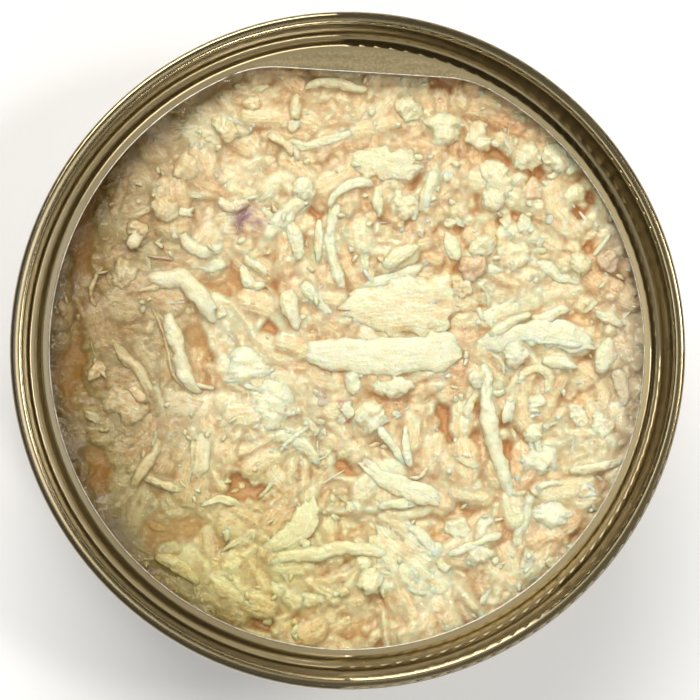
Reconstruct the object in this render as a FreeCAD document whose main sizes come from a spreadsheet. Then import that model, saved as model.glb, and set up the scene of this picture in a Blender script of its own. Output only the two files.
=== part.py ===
"""An opened can of shredded chicken for cats: a drawn can, the ring of its peeled easy-open end, and the food in it.

Millimetres, +Z up. The origin is the middle of the foot that the can stands on. All driving sizes are in the
spreadsheet "Dims". The two metal pieces are sheet sections turned about the can's axis, with their folds rounded
afterwards. The double seam is real: the can's flange is folded out and down into a hook, and the rim of the end
runs over it, down outside and up again behind it. The chicken is a bed with an uneven top and, on it, the pieces
that are large enough to pick out. The broth fills what is left of the can up to its level.
"""

import FreeCAD
import Part
import Sketcher
import math
import os
import random
import re

from FreeCAD import Placement, Rotation, Vector

# ---------------------------------------------------------------- driving sizes

CAN_SIZES = {
    "seam_diameter": 86.7,  # over the double seam
    "can_height": 39.0,  # foot to the top of the seam
    "body_sheet": 0.25,  # thickness of the drawn can's sheet
    "end_sheet": 0.25,  # thickness of the end's sheet
    "seam_gap": 0.08,  # sealing compound between two layers of the seam
    "seam_length": 3.0,  # outer height of the seam
    "body_hook": 2.1,  # length of the can's folded hook
    "cover_hook": 1.9,  # length of the end's folded hook
    "countersink_depth": 4.3,  # top of the seam to the bottom of the groove
    "chuck_run": 0.75,  # how far the chuck wall leans in on its way down
    "countersink_width": 1.15,  # inside width of the groove
    "panel_drop": 2.55,  # top of the seam to the top of the panel
    "panel_wall_lean": 0.3,  # how far the groove's inner wall leans in on its way up
    "score_margin": 1.2,  # panel left outside the circle that the lid was torn out along
    "flat_depth": 2.5,  # how far the opening's straight side lies inside that circle
    "flat_turn": -3.0,  # degrees that the straight side is turned by
    "flat_blend": 14.0,  # radius between the straight side and the circle
    "torn_bevel": 0.12,  # half of the score, left along the torn edge
    "seam_round": 0.42,  # outer roundings of the seam
    "hook_round": 0.14,  # roundings inside the folds
    "groove_round": 0.5,  # roundings of the countersink groove
    "stack_clearance": 0.8,  # the foot stands inside the groove of a can below with this much play
    "foot_width": 1.5,
    "foot_step": 3.2,  # height at which the foot's step meets the wall
    "step_rise": 2.0,  # height at which the step starts to spread
    "foot_round": 0.5,
    "base_lift": 1.5,  # underside of the base panel above the ground
    "bead_rise": 0.6,  # height of the stiffening beads in the base
    "bead_width": 4.0,
    "bead_side": 0.9,  # run of a bead's sloped side
    "bead_margin": 5.7,  # flat base between the foot and the outer bead
    "bead_spacing": 12.0,  # from one bead to the next
    "bead_round": 0.8,
}

FOOD_SIZES = {
    "head_space": 6.2,  # top of the seam down to the broth
    "wall_film": 0.05,  # clearance between the food and the metal
    "broth_coat": 1.0,  # broth between the bed of chicken and the can
    "groove_clearance": 0.3,  # the food stays this far below the countersink groove
    "food_ceiling": 4.4,  # nothing of the food is nearer to the top of the seam than this
    "bed_rise": 0.25,  # the bed between its shreds stands this far out of the broth
    "ridge_height": 1.3,  # how far the bed's shreds stand out of it
    "ridge_width": 2.0,  # half width of a shred in the bed
    "ridge_length": 5.5,  # half length of a shred in the bed
    "bank_width": 2.6,  # the bed falls to its lowest over this width towards a pool
    "pool_depth": 6.0,  # depth of the gaps between the shreds that the broth shows in
    "creek_width": 2.2,  # width of the narrow gaps that join them
}

# Shreds, flakes and lumps that are large enough to pick out. Where two meet, the later one lies on top.
# Place: share of the opening's radius along X and Y. Sizes in millimetres, turns in degrees.
PIECE_COLUMNS = ("x", "y", "length", "width", "thick", "heading", "bend", "sink")
PIECES = {
    "slab_middle": (0.110, -0.002, 22.4, 5.5, 3.4, -2, 5, -0.1),
    "slab_behind": (0.184, 0.145, 16.4, 6.5, 3.0, 3, -4, 0.0),
    "strip_behind": (0.150, 0.246, 9.4, 2.0, 2.0, 20, -10, -0.3),
    "strip_dogbone": (-0.111, 0.176, 6.2, 1.8, 1.9, -56, 0, -0.2),
    "strip_c": (-0.038, 0.367, 13.4, 1.6, 1.8, -88, 38, -0.2),
    "strip_upright": (0.060, 0.340, 7.3, 1.6, 1.7, 88, 6, -0.3),
    "strip_upper": (0.277, 0.554, 7.3, 1.7, 1.8, 76, 0, -0.2),
    "block_upper": (0.190, 0.494, 5.5, 3.9, 2.8, 84, 0, 0.1),
    "flake_upper": (0.133, 0.648, 9.9, 4.7, 2.6, -10, 16, 0.1),
    "lump_upper": (0.331, 0.749, 6.2, 4.7, 3.4, 84, 0, 0.5),
    "lump_upper_right": (0.512, 0.568, 7.8, 3.5, 3.0, -62, 10, 0.3),
    "lump_pink": (0.639, 0.541, 4.7, 3.5, 2.9, 80, 0, 0.3),
    "lump_bright": (0.713, 0.440, 5.5, 3.2, 2.9, -45, 0, 0.2),
    "mass_right": (0.562, 0.350, 8.3, 4.3, 2.9, 78, 8, 0.2),
    "strip_tail": (0.720, 0.259, 8.3, 1.8, 1.8, -25, 18, -0.2),
    "strip_rim_right": (0.874, 0.229, 9.1, 2.3, 1.7, -63, 8, 0.1),
    "strip_striated": (0.525, 0.132, 7.0, 2.9, 2.2, 28, 0, -0.1),
    "leaf_right": (0.636, 0.038, 18.2, 3.5, 2.4, 2, -14, -0.1),
    "strip_long": (0.499, -0.277, 19.0, 2.0, 2.2, -79, 12, -0.4),
    "flake_torn": (0.633, -0.183, 4.7, 3.4, 2.4, 70, 0, 0.0),
    "lump_yellow": (0.653, -0.371, 6.5, 4.3, 3.2, 12, 0, 0.2),
    "lump_rim": (0.814, -0.471, 4.9, 3.4, 2.8, 60, 0, 0.3),
    "chunk_knobbly": (0.696, -0.555, 5.5, 4.4, 3.4, 76, 0, 0.1),
    "strip_low_right": (0.603, -0.572, 9.6, 1.8, 1.9, 78, 8, -0.2),
    "curl_low_right": (0.485, -0.629, 6.5, 2.0, 1.9, 72, 60, -0.1),
    "strip_ragged": (0.190, -0.444, 13.3, 2.3, 2.2, -27, 10, -0.2),
    "curl_middle": (-0.172, -0.324, 8.1, 1.7, 1.9, -22, -50, -0.1),
    "lump_left": (-0.339, -0.056, 6.5, 6.0, 4.0, 60, 0, 0.8),
    "lump_left_low": (-0.245, -0.186, 7.8, 6.8, 4.2, -55, 0, 0.8),
    "lump_oval": (-0.091, -0.176, 5.2, 3.1, 2.8, 84, 0, 0.3),
    "lump_glossy": (-0.007, -0.206, 4.9, 3.4, 2.9, 86, 0, 0.2),
    "hook_left": (-0.544, 0.189, 12.0, 2.5, 2.4, -32, -52, -0.2),
    "strip_left": (-0.557, -0.009, 12.0, 2.1, 2.2, -70, 22, -0.2),
    "strip_far_left": (-0.721, -0.056, 10.1, 1.7, 1.8, -56, -12, -0.1),
    "chunk_left": (-0.745, 0.259, 4.9, 4.4, 3.0, 20, 0, 0.4),
    "lump_far_left": (-0.745, -0.180, 8.6, 6.5, 3.2, -30, 0, 0.7),
    "strip_low_left": (-0.678, -0.381, 7.5, 1.6, 1.7, 62, -14, -0.1),
    "strip_wide": (-0.493, -0.351, 6.8, 3.2, 2.4, 84, 0, 0.1),
    "curl_upper_left": (-0.490, 0.360, 8.1, 2.0, 1.9, -22, 72, -0.1),
    "banana_upper": (-0.229, 0.444, 6.8, 2.0, 2.0, 42, 58, -0.2),
    "lump_upper_left": (-0.537, 0.618, 4.9, 4.2, 2.8, 40, 0, 0.5),
    "strip_top": (-0.091, 0.742, 13.5, 1.6, 1.8, 2, 52, -0.2),
    "crescent_low": (-0.192, -0.585, 10.7, 2.9, 2.2, -130, -52, 0.0),
    "band_low": (-0.064, -0.679, 16.6, 2.1, 2.2, 6, -20, -0.3),
    "fan_low": (0.214, -0.706, 12.7, 7.3, 2.8, -44, 12, 0.3),
    "curl_bottom": (-0.145, -0.813, 12.0, 2.0, 1.8, -10, 68, 0.0),
    "strips_bottom": (-0.373, -0.806, 9.6, 2.7, 2.0, -24, 8, 0.2),
}

# Where the broth lies open between the shreds. Place: share of the opening's radius. Half sizes in millimetres.
POOLS = {
    "far_left_upper": (-0.88, 0.40, 3.4, 9.0),
    "far_left": (-0.93, -0.06, 3.2, 6.5),
    "far_left_lower": (-0.84, -0.38, 4.0, 3.4),
    "left": (-0.38, 0.22, 4.4, 3.0),
    "left_inner": (-0.50, 0.05, 3.0, 4.0),
    "top_left": (-0.32, 0.66, 5.4, 2.6),
    "low_left": (-0.56, -0.60, 6.4, 3.4),
    "low_middle": (0.08, -0.62, 4.6, 2.2),
    "top_right": (0.46, 0.68, 4.4, 2.6),
    "upper_middle": (0.36, 0.33, 2.8, 4.0),
    "right": (0.80, -0.14, 4.8, 3.4),
    "right_upper": (0.74, 0.13, 5.4, 2.0),
    "low_right": (0.36, -0.58, 3.8, 2.4),
    "bottom": (-0.02, -0.90, 6.0, 2.2),
}

# The gaps that join the pools with each other and with the broth along the can's wall.
CREEKS = (
    ("left_inner", "left"),
    ("left", "far_left_upper"),
    ("low_middle", "bottom"),
    ("low_middle", "low_right"),
    ("upper_middle", "right_upper"),
    ("right_upper", "right"),
)
RIM_CREEKS = ("far_left_upper", "far_left", "far_left_lower", "top_left", "low_left", "top_right", "right", "bottom")

RIDGE_COUNT = 110  # shreds that make up the bed's relief
BED_GRID = 49  # points each way that the bed's top is drawn through
OUTLINE_POINTS = 14  # points round a pool
SECTIONS = 7  # sections along a shred
SECTION_POINTS = 12  # points round a section
FULL_TURN = 360.0
FINE = 1e-6

doc = FreeCAD.newDocument("CatFoodCan")
dims = doc.addObject("Spreadsheet::Sheet", "Dims")


def fill_sheet():
    """Writes every driving size to the sheet, a name and a number to a row."""
    rows = dict(CAN_SIZES)
    rows.update(FOOD_SIZES)
    for piece, values in PIECES.items():
        for column, value in zip(PIECE_COLUMNS, values):
            rows[f"{piece}_{column}"] = value
    for row, (alias, value) in enumerate(rows.items(), start=1):
        dims.set(f"A{row}", alias)
        dims.set(f"B{row}", repr(value))
        dims.setAlias(f"B{row}", alias)
    doc.recompute()


def size(name):
    """The sheet's value under that name."""
    return float(getattr(dims, name))


# Sizes that several pieces share, written once in terms of the sheet's names.
DERIVED = {
    "seam_r": "seam_diameter / 2",
    "outer_wall_in": "seam_r - end_sheet",
    "body_hook_out": "outer_wall_in - seam_gap",
    "body_hook_in": "body_hook_out - body_sheet",
    "cover_hook_out": "body_hook_in - seam_gap",
    "cover_hook_in": "cover_hook_out - end_sheet",
    "body_out": "cover_hook_in - seam_gap",
    "body_in": "body_out - body_sheet",
    "chuck_out": "body_in - seam_gap",
    "chuck_in": "chuck_out - end_sheet",
    "seam_foot": "can_height - seam_length",
    "flange_top": "can_height - end_sheet - seam_gap",
    "groove_floor": "can_height - countersink_depth",
    "groove_out": "chuck_in - chuck_run",
    "groove_in": "groove_out - countersink_width",
    "panel_top": "can_height - panel_drop",
    "panel_r": "groove_in - panel_wall_lean",
    "opening_r": "panel_r - score_margin",
    "opening_flat": "opening_r - flat_depth",
    "foot_r": "groove_out - stack_clearance",
    "foot_in": "foot_r - foot_width",
    "outer_bead": "foot_in - bead_margin - bead_width",
    "inner_bead": "outer_bead - bead_spacing",
    "fill_r": "body_in - wall_film",
    "broth_top": "can_height - head_space",
}


def expression(text):
    """Spells a formula out in the sheet's own names, for setExpression."""

    def spell(match):
        word = match.group(0)
        if word in DERIVED:
            return "(" + expression(DERIVED[word]) + ")"
        return f"<<Dims>>.{word}"

    return re.sub(r"[a-z_]{3,}", spell, text)


def value(text):
    """The number that a formula in the sheet's names comes to."""

    def spell(match):
        word = match.group(0)
        if word in DERIVED:
            return repr(value(DERIVED[word]))
        return repr(size(word))

    return float(worked_out(re.sub(r"[a-z_]{3,}", spell, text)))


def worked_out(text):
    """Works out a formula of numbers, + - * / and brackets."""
    return FreeCAD.Units.Quantity(text).Value


# ---------------------------------------------------------------- sketches and sheet sections


def origin_feature(body, role):
    return next(f for f in body.Origin.OriginFeatures if f.Role == role)


def new_body(name):
    body = doc.addObject("PartDesign::Body", name)
    body.Label = name
    return body


def pin_point(sketch, geo, point, across, up):
    """Ties a point of a sketch to formulas for its distance from the axis and its height."""
    for kind, text, axis in (("DistanceX", across, -2), ("DistanceY", up, -1)):
        if text == "0":
            sketch.addConstraint(Sketcher.Constraint("PointOnObject", geo, point, axis))
            continue
        at = value(text)
        index = sketch.addConstraint(Sketcher.Constraint(kind, -1, 1, geo, point, at))
        sketch.setExpression(f"Constraints[{index}]", expression(text))


def section_sketch(body, name, corners):
    """A closed outline of straight sides in the XZ plane, each corner tied to the sheet."""
    sketch = body.newObject("Sketcher::SketchObject", name)
    sketch.AttachmentSupport = (origin_feature(body, "XZ_Plane"), [""])
    sketch.MapMode = "FlatFace"
    points = [Vector(value(across) if across != "0" else 0, value(up) if up != "0" else 0, 0)
              for across, up in corners]
    count = len(points)
    for i in range(count):
        sketch.addGeometry(Part.LineSegment(points[i], points[(i + 1) % count]), False)
    for i in range(count):
        sketch.addConstraint(Sketcher.Constraint("Coincident", i, 2, (i + 1) % count, 1))
    for i, (across, up) in enumerate(corners):
        pin_point(sketch, i, 1, across, up)
    return sketch


def turned(body, sketch):
    """The sketch turned all the way round the can's axis."""
    turn = body.newObject("PartDesign::Revolution", f"{body.Name}_turned")
    turn.Profile = sketch
    turn.ReferenceAxis = (sketch, ["V_Axis"])
    turn.Angle = FULL_TURN
    sketch.Visibility = False
    doc.recompute()
    return turn


def ring_edges(shape, corners):
    """Names of the round edges that lie at those corners of the turned section."""
    wanted = [(value(across), value(up) if up != "0" else 0.0) for across, up in corners]
    found = []
    for i, edge in enumerate(shape.Edges, start=1):
        if not isinstance(edge.Curve, Part.Circle):
            continue
        radius, height = edge.Curve.Radius, edge.Curve.Center.z
        if any(abs(radius - r) < FINE and abs(height - z) < FINE for r, z in wanted):
            found.append(f"Edge{i}")
    if len(found) != len(wanted):
        raise ValueError(f"{len(found)} of {len(wanted)} folds were found")
    return found


def rounded(body, base, name, radius, corners):
    """Rounds the folds at those corners by a radius from the sheet."""
    fillet = body.newObject("PartDesign::Fillet", name)
    fillet.Base = (base, ring_edges(base.Shape, corners))
    fillet.Radius = value(radius)
    fillet.setExpression("Radius", expression(radius))
    doc.recompute()
    return fillet


# ---------------------------------------------------------------- the drawn can


def bead_under(start):
    """Corners of one bead on the underside of the base, from the axis outwards."""
    return [
        (start, "base_lift"),
        (f"{start} + bead_side", "base_lift + bead_rise"),
        (f"{start} + bead_width - bead_side", "base_lift + bead_rise"),
        (f"{start} + bead_width", "base_lift"),
    ]


def bead_over(start):
    """The same bead on the inside of the can, a sheet's thickness up, from the wall inwards."""
    top = "base_lift + bead_rise + body_sheet"
    floor = "base_lift + body_sheet"
    return [
        (f"{start} + bead_width + body_sheet / 3", floor),
        (f"{start} + bead_width - bead_side + body_sheet / 3", top),
        (f"{start} + bead_side - body_sheet / 3", top),
        (f"{start} - body_sheet / 3", floor),
    ]


def make_can_body():
    """Drawn can: beaded base, foot that nests in the seam of a can below, plain wall and folded flange."""
    body = new_body("can_body")
    foot_out = [("foot_r", "0"), ("foot_r", "step_rise"), ("body_out", "foot_step")]
    foot_over = [
        ("body_in", "foot_step + body_sheet / 2"),
        ("foot_r - body_sheet", "step_rise + body_sheet / 2"),
        ("foot_r - body_sheet", "body_sheet"),
        ("foot_in + body_sheet", "body_sheet"),
        ("foot_in + body_sheet", "base_lift + body_sheet"),
    ]
    hook_tip = "flange_top - body_hook"
    fold = [
        ("body_out", "flange_top - body_sheet"),
        ("body_hook_in", "flange_top - body_sheet"),
        ("body_hook_in", hook_tip),
        ("body_hook_out", hook_tip),
        ("body_hook_out", "flange_top"),
        ("body_in", "flange_top"),
    ]
    under = bead_under("inner_bead") + bead_under("outer_bead")
    over = bead_over("outer_bead") + bead_over("inner_bead")
    corners = (
        [("0", "base_lift")]
        + under
        + [("foot_in", "base_lift"), ("foot_in", "0")]
        + foot_out
        + fold
        + foot_over
        + over
        + [("0", "base_lift + body_sheet")]
    )
    sketch = section_sketch(body, "can_body_section", corners)
    shape = turned(body, sketch)
    shape = rounded(body, shape, "base_bead_rounds", "bead_round", under + over)
    shape = rounded(body, shape, "foot_outer_rounds", "foot_round", [
        ("foot_r", "0"), ("foot_in", "0"), ("foot_r", "step_rise"), ("body_out", "foot_step"),
        ("body_in", "foot_step + body_sheet / 2"),
    ])
    shape = rounded(body, shape, "foot_inner_rounds", "foot_round - body_sheet", [
        ("foot_r - body_sheet", "body_sheet"),
        ("foot_in + body_sheet", "body_sheet"),
        ("foot_in", "base_lift"),
    ])
    shape = rounded(body, shape, "hook_inner_rounds", "hook_round", [fold[0], fold[1]])
    shape = rounded(body, shape, "hook_outer_rounds", "hook_round + body_sheet / 2", [fold[4], fold[5]])
    body.Tip = shape
    return body


# ---------------------------------------------------------------- the ring of the easy-open end


def opening_sketch(body):
    """The hole that the lid left: a circle with one straight side, where the last of it bent away."""
    sketch = body.newObject("Sketcher::SketchObject", "opening_outline")
    sketch.AttachmentSupport = (origin_feature(body, "XY_Plane"), [""])
    sketch.MapMode = "FlatFace"
    sketch.AttachmentOffset = Placement(Vector(), Rotation(Vector(0, 0, 1), size("flat_turn")))
    sketch.setExpression("AttachmentOffset.Rotation.Angle", expression("flat_turn"))
    radius, flat = value("opening_r"), value("opening_flat")
    half = math.sqrt(radius ** 2 - flat ** 2)
    right = math.atan2(flat, half)
    circle = Part.Circle(Vector(), Vector(0, 0, 1), radius)
    sketch.addGeometry(Part.ArcOfCircle(circle, math.pi - right, 2 * math.pi + right), False)
    sketch.addGeometry(Part.LineSegment(Vector(half, flat, 0), Vector(-half, flat, 0)), False)
    tie = Sketcher.Constraint
    sketch.addConstraint(tie("Coincident", 0, 3, -1, 1))
    sketch.addConstraint(tie("Coincident", 0, 2, 1, 1))
    sketch.addConstraint(tie("Coincident", 0, 1, 1, 2))
    sketch.addConstraint(tie("Horizontal", 1))
    radius_tie = sketch.addConstraint(tie("Radius", 0, radius))
    sketch.setExpression(f"Constraints[{radius_tie}]", expression("opening_r"))
    flat_tie = sketch.addConstraint(tie("DistanceY", -1, 1, 1, 1, flat))
    sketch.setExpression(f"Constraints[{flat_tie}]", expression("opening_flat"))
    return sketch


def make_end_ring():
    """What stays of the easy-open end: seam, chuck wall, countersink groove and the panel round the opening."""
    body = new_body("end_ring")
    hook_tip = "seam_foot + cover_hook"
    under = "end_sheet"
    corners = [
        ("cover_hook_in", hook_tip),
        ("cover_hook_out", hook_tip),
        ("cover_hook_out", f"seam_foot + {under}"),
        ("outer_wall_in", f"seam_foot + {under}"),
        ("outer_wall_in", f"can_height - {under}"),
        ("chuck_out", f"can_height - {under}"),
        (f"groove_out + {under}", f"groove_floor - {under}"),
        (f"groove_in - {under}", f"groove_floor - {under}"),
        (f"panel_r - {under}", f"panel_top - {under}"),
        ("0", f"panel_top - {under}"),
        ("0", "panel_top"),
        ("panel_r", "panel_top"),
        ("groove_in", "groove_floor"),
        ("groove_out", "groove_floor"),
        ("chuck_in", "can_height"),
        ("seam_r", "can_height"),
        ("seam_r", "seam_foot"),
        ("cover_hook_in", "seam_foot"),
    ]
    sketch = section_sketch(body, "end_ring_section", corners)
    shape = turned(body, sketch)
    shape = rounded(body, shape, "seam_outer_rounds", "seam_round",
                    [("seam_r", "can_height"), ("seam_r", "seam_foot"), ("cover_hook_in", "seam_foot"),
                     ("chuck_in", "can_height")])
    shape = rounded(body, shape, "seam_inner_rounds", "hook_round", corners[2:6])
    shape = rounded(body, shape, "groove_rounds", "groove_round",
                    [corners[12], corners[13], corners[11], corners[8]])
    shape = rounded(body, shape, "groove_under_rounds", "groove_round + end_sheet / 2",
                    [corners[6], corners[7]])
    outline = opening_sketch(body)
    doc.recompute()
    whole = shape.Shape.Volume
    hole = body.newObject("PartDesign::Pocket", "torn_out_lid")
    hole.Profile = outline
    hole.Type = "ThroughAll"
    hole.Midplane = True
    outline.Visibility = False
    doc.recompute()
    if hole.Shape.Volume > whole - FINE:
        raise ValueError("the opening cut nothing")
    blend = body.newObject("PartDesign::Fillet", "opening_blend")
    blend.Base = (hole, upright_edges(hole.Shape))
    blend.Radius = size("flat_blend")
    blend.setExpression("Radius", expression("flat_blend"))
    doc.recompute()
    bevel = body.newObject("PartDesign::Chamfer", "torn_edge")
    bevel.Base = (blend, opening_edges(blend.Shape))
    bevel.Size = size("torn_bevel")
    bevel.setExpression("Size", expression("torn_bevel"))
    doc.recompute()
    body.Tip = bevel
    return body


def upright_edges(shape):
    """The two short upright edges where the opening's straight side meets its circle."""
    flat = value("opening_flat")
    found = []
    for i, edge in enumerate(shape.Edges, start=1):
        a, b = edge.Vertexes[0].Point, edge.Vertexes[-1].Point
        upright = abs(a.x - b.x) < FINE and abs(a.y - b.y) < FINE and abs(a.z - b.z) > FINE
        on_circle = abs(math.hypot(a.x, a.y) - value("opening_r")) < 1e-3
        if upright and on_circle and a.y > flat / 2:
            found.append(f"Edge{i}")
    if len(found) != 2:
        raise ValueError("the corners of the opening were not found")
    return found


def opening_edges(shape):
    """The upper edges of the opening."""
    top = value("panel_top")
    reach = value("opening_r") + 1e-3
    found = []
    for i, edge in enumerate(shape.Edges, start=1):
        box = edge.BoundBox
        level = abs(box.ZMin - top) < 1e-4 and abs(box.ZMax - top) < 1e-4
        middle = edge.valueAt((edge.FirstParameter + edge.LastParameter) / 2)
        if level and math.hypot(middle.x, middle.y) < reach:
            found.append(f"Edge{i}")
    return found


# ---------------------------------------------------------------- the food


def turned_solid(outline):
    """A solid of revolution about the can's axis from (radius, height) corners."""
    wire = Part.makePolygon([Vector(r, 0, z) for r, z in outline + outline[:1]])
    return Part.Face(wire).revolve(Vector(), Vector(0, 0, 1), FULL_TURN)


def room_for_food(inset, top):
    """The inside of the can up to a height, clear of the sheet by an inset and lower under the groove."""
    wall = value("body_in") - inset
    foot = value("foot_r") - size("body_sheet") - inset
    floor = size("base_lift") + size("bead_rise") + size("body_sheet") + inset
    step = max(size("step_rise") + size("body_sheet") + inset, floor + size("wall_film"))
    spread = max(size("foot_step") + size("body_sheet") + inset, step)
    outline = [(0, floor), (foot, floor), (foot, step), (wall, spread)]
    under_groove = value("groove_floor") - size("end_sheet") - size("groove_clearance")
    lip = value("opening_r") - size("groove_clearance")
    if top > under_groove:
        outline += [(wall, under_groove), (lip, under_groove), (lip, top), (0, top)]
    else:
        outline += [(wall, top), (0, top)]
    return turned_solid(outline)


def bell(distance):
    """A smooth hump: one at the middle, next to nothing two half-widths out."""
    return math.exp(-distance * distance)


def bed_ridges():
    """Shreds of the bed, spread evenly by the golden angle and turned every way."""
    pick = random.Random(11)
    golden = math.pi * (3 - math.sqrt(5))
    reach = value("fill_r") - size("broth_coat")
    ridges = []
    for i in range(RIDGE_COUNT):
        radius = reach * math.sqrt((i + 0.5) / RIDGE_COUNT)
        angle = i * golden
        turn = pick.uniform(0, math.pi)
        length = size("ridge_length") * pick.uniform(0.6, 1.3)
        width = size("ridge_width") * pick.uniform(0.7, 1.25)
        height = size("ridge_height") * pick.uniform(0.4, 1.0)
        ridges.append((radius * math.cos(angle), radius * math.sin(angle), turn, length, width, height))
    return ridges


def spine(name):
    """Points along a shred's middle line, seen from above, and its direction at each: an arc that lies level."""
    x, y, length, heading, bend = (size(f"{name}_{c}") for c in ("x", "y", "length", "heading", "bend"))
    turn, curl = math.radians(heading), math.radians(bend)
    stride = length / (SECTIONS - 1)
    at = Vector()
    line = []
    for i in range(SECTIONS):
        share = i / (SECTIONS - 1) - 0.5
        line.append((at, turn + curl * share))
        ahead = turn + curl * (share + 0.5 / (SECTIONS - 1))
        at = at + Vector(math.cos(ahead), math.sin(ahead), 0) * stride
    shift = Vector(x, y, 0) * value("opening_r") - line[SECTIONS // 2][0]
    return [(point + shift, direction) for point, direction in line]


def bed_height(x, y, ridges):
    """Height of the bed of chicken over a point of the base: its shreds, flattened towards the pools."""
    lift = 0.0
    for cx, cy, turn, length, width, rise in ridges:
        along = (x - cx) * math.cos(turn) + (y - cy) * math.sin(turn)
        across = (y - cy) * math.cos(turn) - (x - cx) * math.sin(turn)
        lift = max(lift, rise * bell(math.hypot(along / length, across / width)))
    reach = value("opening_r")
    for px, py, half_x, half_y in POOLS.values():
        bank = size("bank_width")
        away = math.hypot((x - px * reach) / (half_x + bank), (y - py * reach) / (half_y + bank))
        lift *= 1 - 0.8 * bell(away ** 2)
    return value("broth_top") + size("bed_rise") + lift


def largest(shape):
    """The largest solid of a shape, without the crumbs that a cut can leave."""
    return max(shape.Solids, key=lambda solid: solid.Volume)


def bed_of_chicken():
    """The heap of shreds too small to part, ridged by its shreds."""
    reach = value("fill_r") + 2.0
    ridges = bed_ridges()
    steps = [-reach + 2 * reach * i / (BED_GRID - 1) for i in range(BED_GRID)]
    surface = Part.BSplineSurface()
    surface.interpolate([[Vector(x, y, bed_height(x, y, ridges)) for y in steps] for x in steps])
    heap = surface.toShape().extrude(Vector(0, 0, -size("can_height")))
    ceiling = size("can_height") - size("food_ceiling")
    return heap.common(room_for_food(size("wall_film") + size("broth_coat"), ceiling))


def gap_between_shreds(points):
    """An upright gap with a smooth outline through the points, from its floor to above all food."""
    curve = Part.BSplineCurve()
    floor = value("broth_top") - size("pool_depth")
    curve.interpolate([Vector(x, y, floor) for x, y in points], PeriodicFlag=True)
    return Part.Face(Part.Wire(curve.toShape())).extrude(Vector(0, 0, size("can_height") - floor))


def pool(name):
    """The gap at a pool: an oval, ragged by the shreds round it."""
    x, y, half_x, half_y = POOLS[name]
    pick = random.Random(name)
    points = []
    for k in range(OUTLINE_POINTS):
        a = 2 * math.pi * k / OUTLINE_POINTS
        ragged = pick.uniform(0.78, 1.16)
        across = x * value("opening_r") + half_x * ragged * math.cos(a)
        points.append((across, y * value("opening_r") + half_y * ragged * math.sin(a)))
    return gap_between_shreds(points)


def creek(start, end):
    """A narrow gap from one place to another, wandering a little."""
    length = math.dist(start, end)
    ahead_x, ahead_y = (end[0] - start[0]) / length, (end[1] - start[1]) / length
    pick = random.Random(f"{start[0]:.0f} {start[1]:.0f}")
    bends = [(share, pick.uniform(-0.5, 0.5)) for share in (0, 0.25, 0.5, 0.75, 1)]
    sides = [(share, bend + 0.5) for share, bend in bends] + [(share, bend - 0.5) for share, bend in bends[::-1]]
    points = []
    for share, side in sides:
        off = side * size("creek_width")
        points.append((start[0] + ahead_x * share * length - ahead_y * off,
                       start[1] + ahead_y * share * length + ahead_x * off))
    return gap_between_shreds(points)


def gaps_for_broth():
    """All gaps between the shreds that the broth shows in, as one solid. The rim's lead out to the can's wall."""
    reach = value("opening_r")
    middles = {name: (x * reach, y * reach) for name, (x, y, _, _) in POOLS.items()}
    gaps = [pool(name) for name in POOLS]
    gaps += [creek(middles[a], middles[b]) for a, b in CREEKS]
    for name in RIM_CREEKS:
        x, y = middles[name]
        out = (value("fill_r") + 1) / math.hypot(x, y)
        gaps.append(creek((x, y), (x * out, y * out)))
    return gaps[0].multiFuse(gaps[1:])


def shred_section(width, thick, lobes, phase):
    """A closed section across a shred, lightly fluted by its fibres."""
    points = []
    for k in range(SECTION_POINTS):
        a = 2 * math.pi * k / SECTION_POINTS
        flute = 1 + 0.09 * math.cos(lobes * a + phase)
        points.append(Vector(0, 0.5 * width * flute * math.cos(a), 0.5 * thick * flute * math.sin(a)))
    curve = Part.BSplineCurve()
    curve.interpolate(points, PeriodicFlag=True)
    return Part.Wire(curve.toShape())


def shred(name):
    """One shred, flake or lump: sections lofted along its middle line, with blunt torn ends."""
    length, width, thick, sink = (size(f"{name}_{c}") for c in ("length", "width", "thick", "sink"))
    pick = random.Random(name)
    phase = pick.uniform(0, math.pi)
    squat = 2 * width > length
    lobes = 4 if squat else 3
    sections = []
    for i, (point, direction) in enumerate(spine(name)):
        share = abs(2 * i / (SECTIONS - 1) - 1)
        taper = math.sqrt(1 - share ** 2 * 0.9) if squat else math.sqrt(1 - share ** 4 * 0.85)
        fullness = taper * pick.uniform(0.88, 1.08)
        section = shred_section(width * fullness, thick * max(0.5, taper), lobes, phase + 0.2 * i)
        place = point + Vector(0, 0, value("broth_top") - sink)
        section.Placement = Placement(place, Rotation(Vector(0, 0, 1), math.degrees(direction)))
        sections.append(section)
    return Part.makeLoft(sections, True, False)


def add_food(name, shape):
    """Stores a finished food solid in the document under its own name."""
    piece = doc.addObject("Part::Feature", name)
    piece.Label = name
    piece.Shape = shape
    piece.Placement = Placement()
    return piece


def lay_pieces():
    """The loose pieces, from the topmost down: each keeps clear of the ones that lie on it."""
    ceiling = size("can_height") - size("food_ceiling")
    room = room_for_food(size("wall_film") + size("broth_coat"), ceiling)
    laid = {}
    for name in reversed(PIECES):
        piece = shred(name).common(room)
        over = [other for other in laid.values() if piece.BoundBox.intersect(other.BoundBox)]
        laid[name] = largest(piece.cut(over) if over else piece)
    return laid


def make_food():
    """Pieces, bed and broth. The bed closes round the pieces, and the broth fills the gaps and the coat round it."""
    laid = lay_pieces()
    pieces = list(laid.values())
    gaps = gaps_for_broth()
    bed = bed_of_chicken().cut(gaps)
    coat = size("wall_film") + size("broth_coat")
    inside = room_for_food(coat, value("broth_top") + size("bed_rise") / 2)
    broth = room_for_food(size("wall_film"), value("broth_top")).cut(inside.cut(gaps))
    made = [add_food("chicken_bed", largest(bed.cut(pieces))), add_food("broth", largest(broth.cut(pieces)))]
    return made + [add_food(name, piece) for name, piece in laid.items()]


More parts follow.
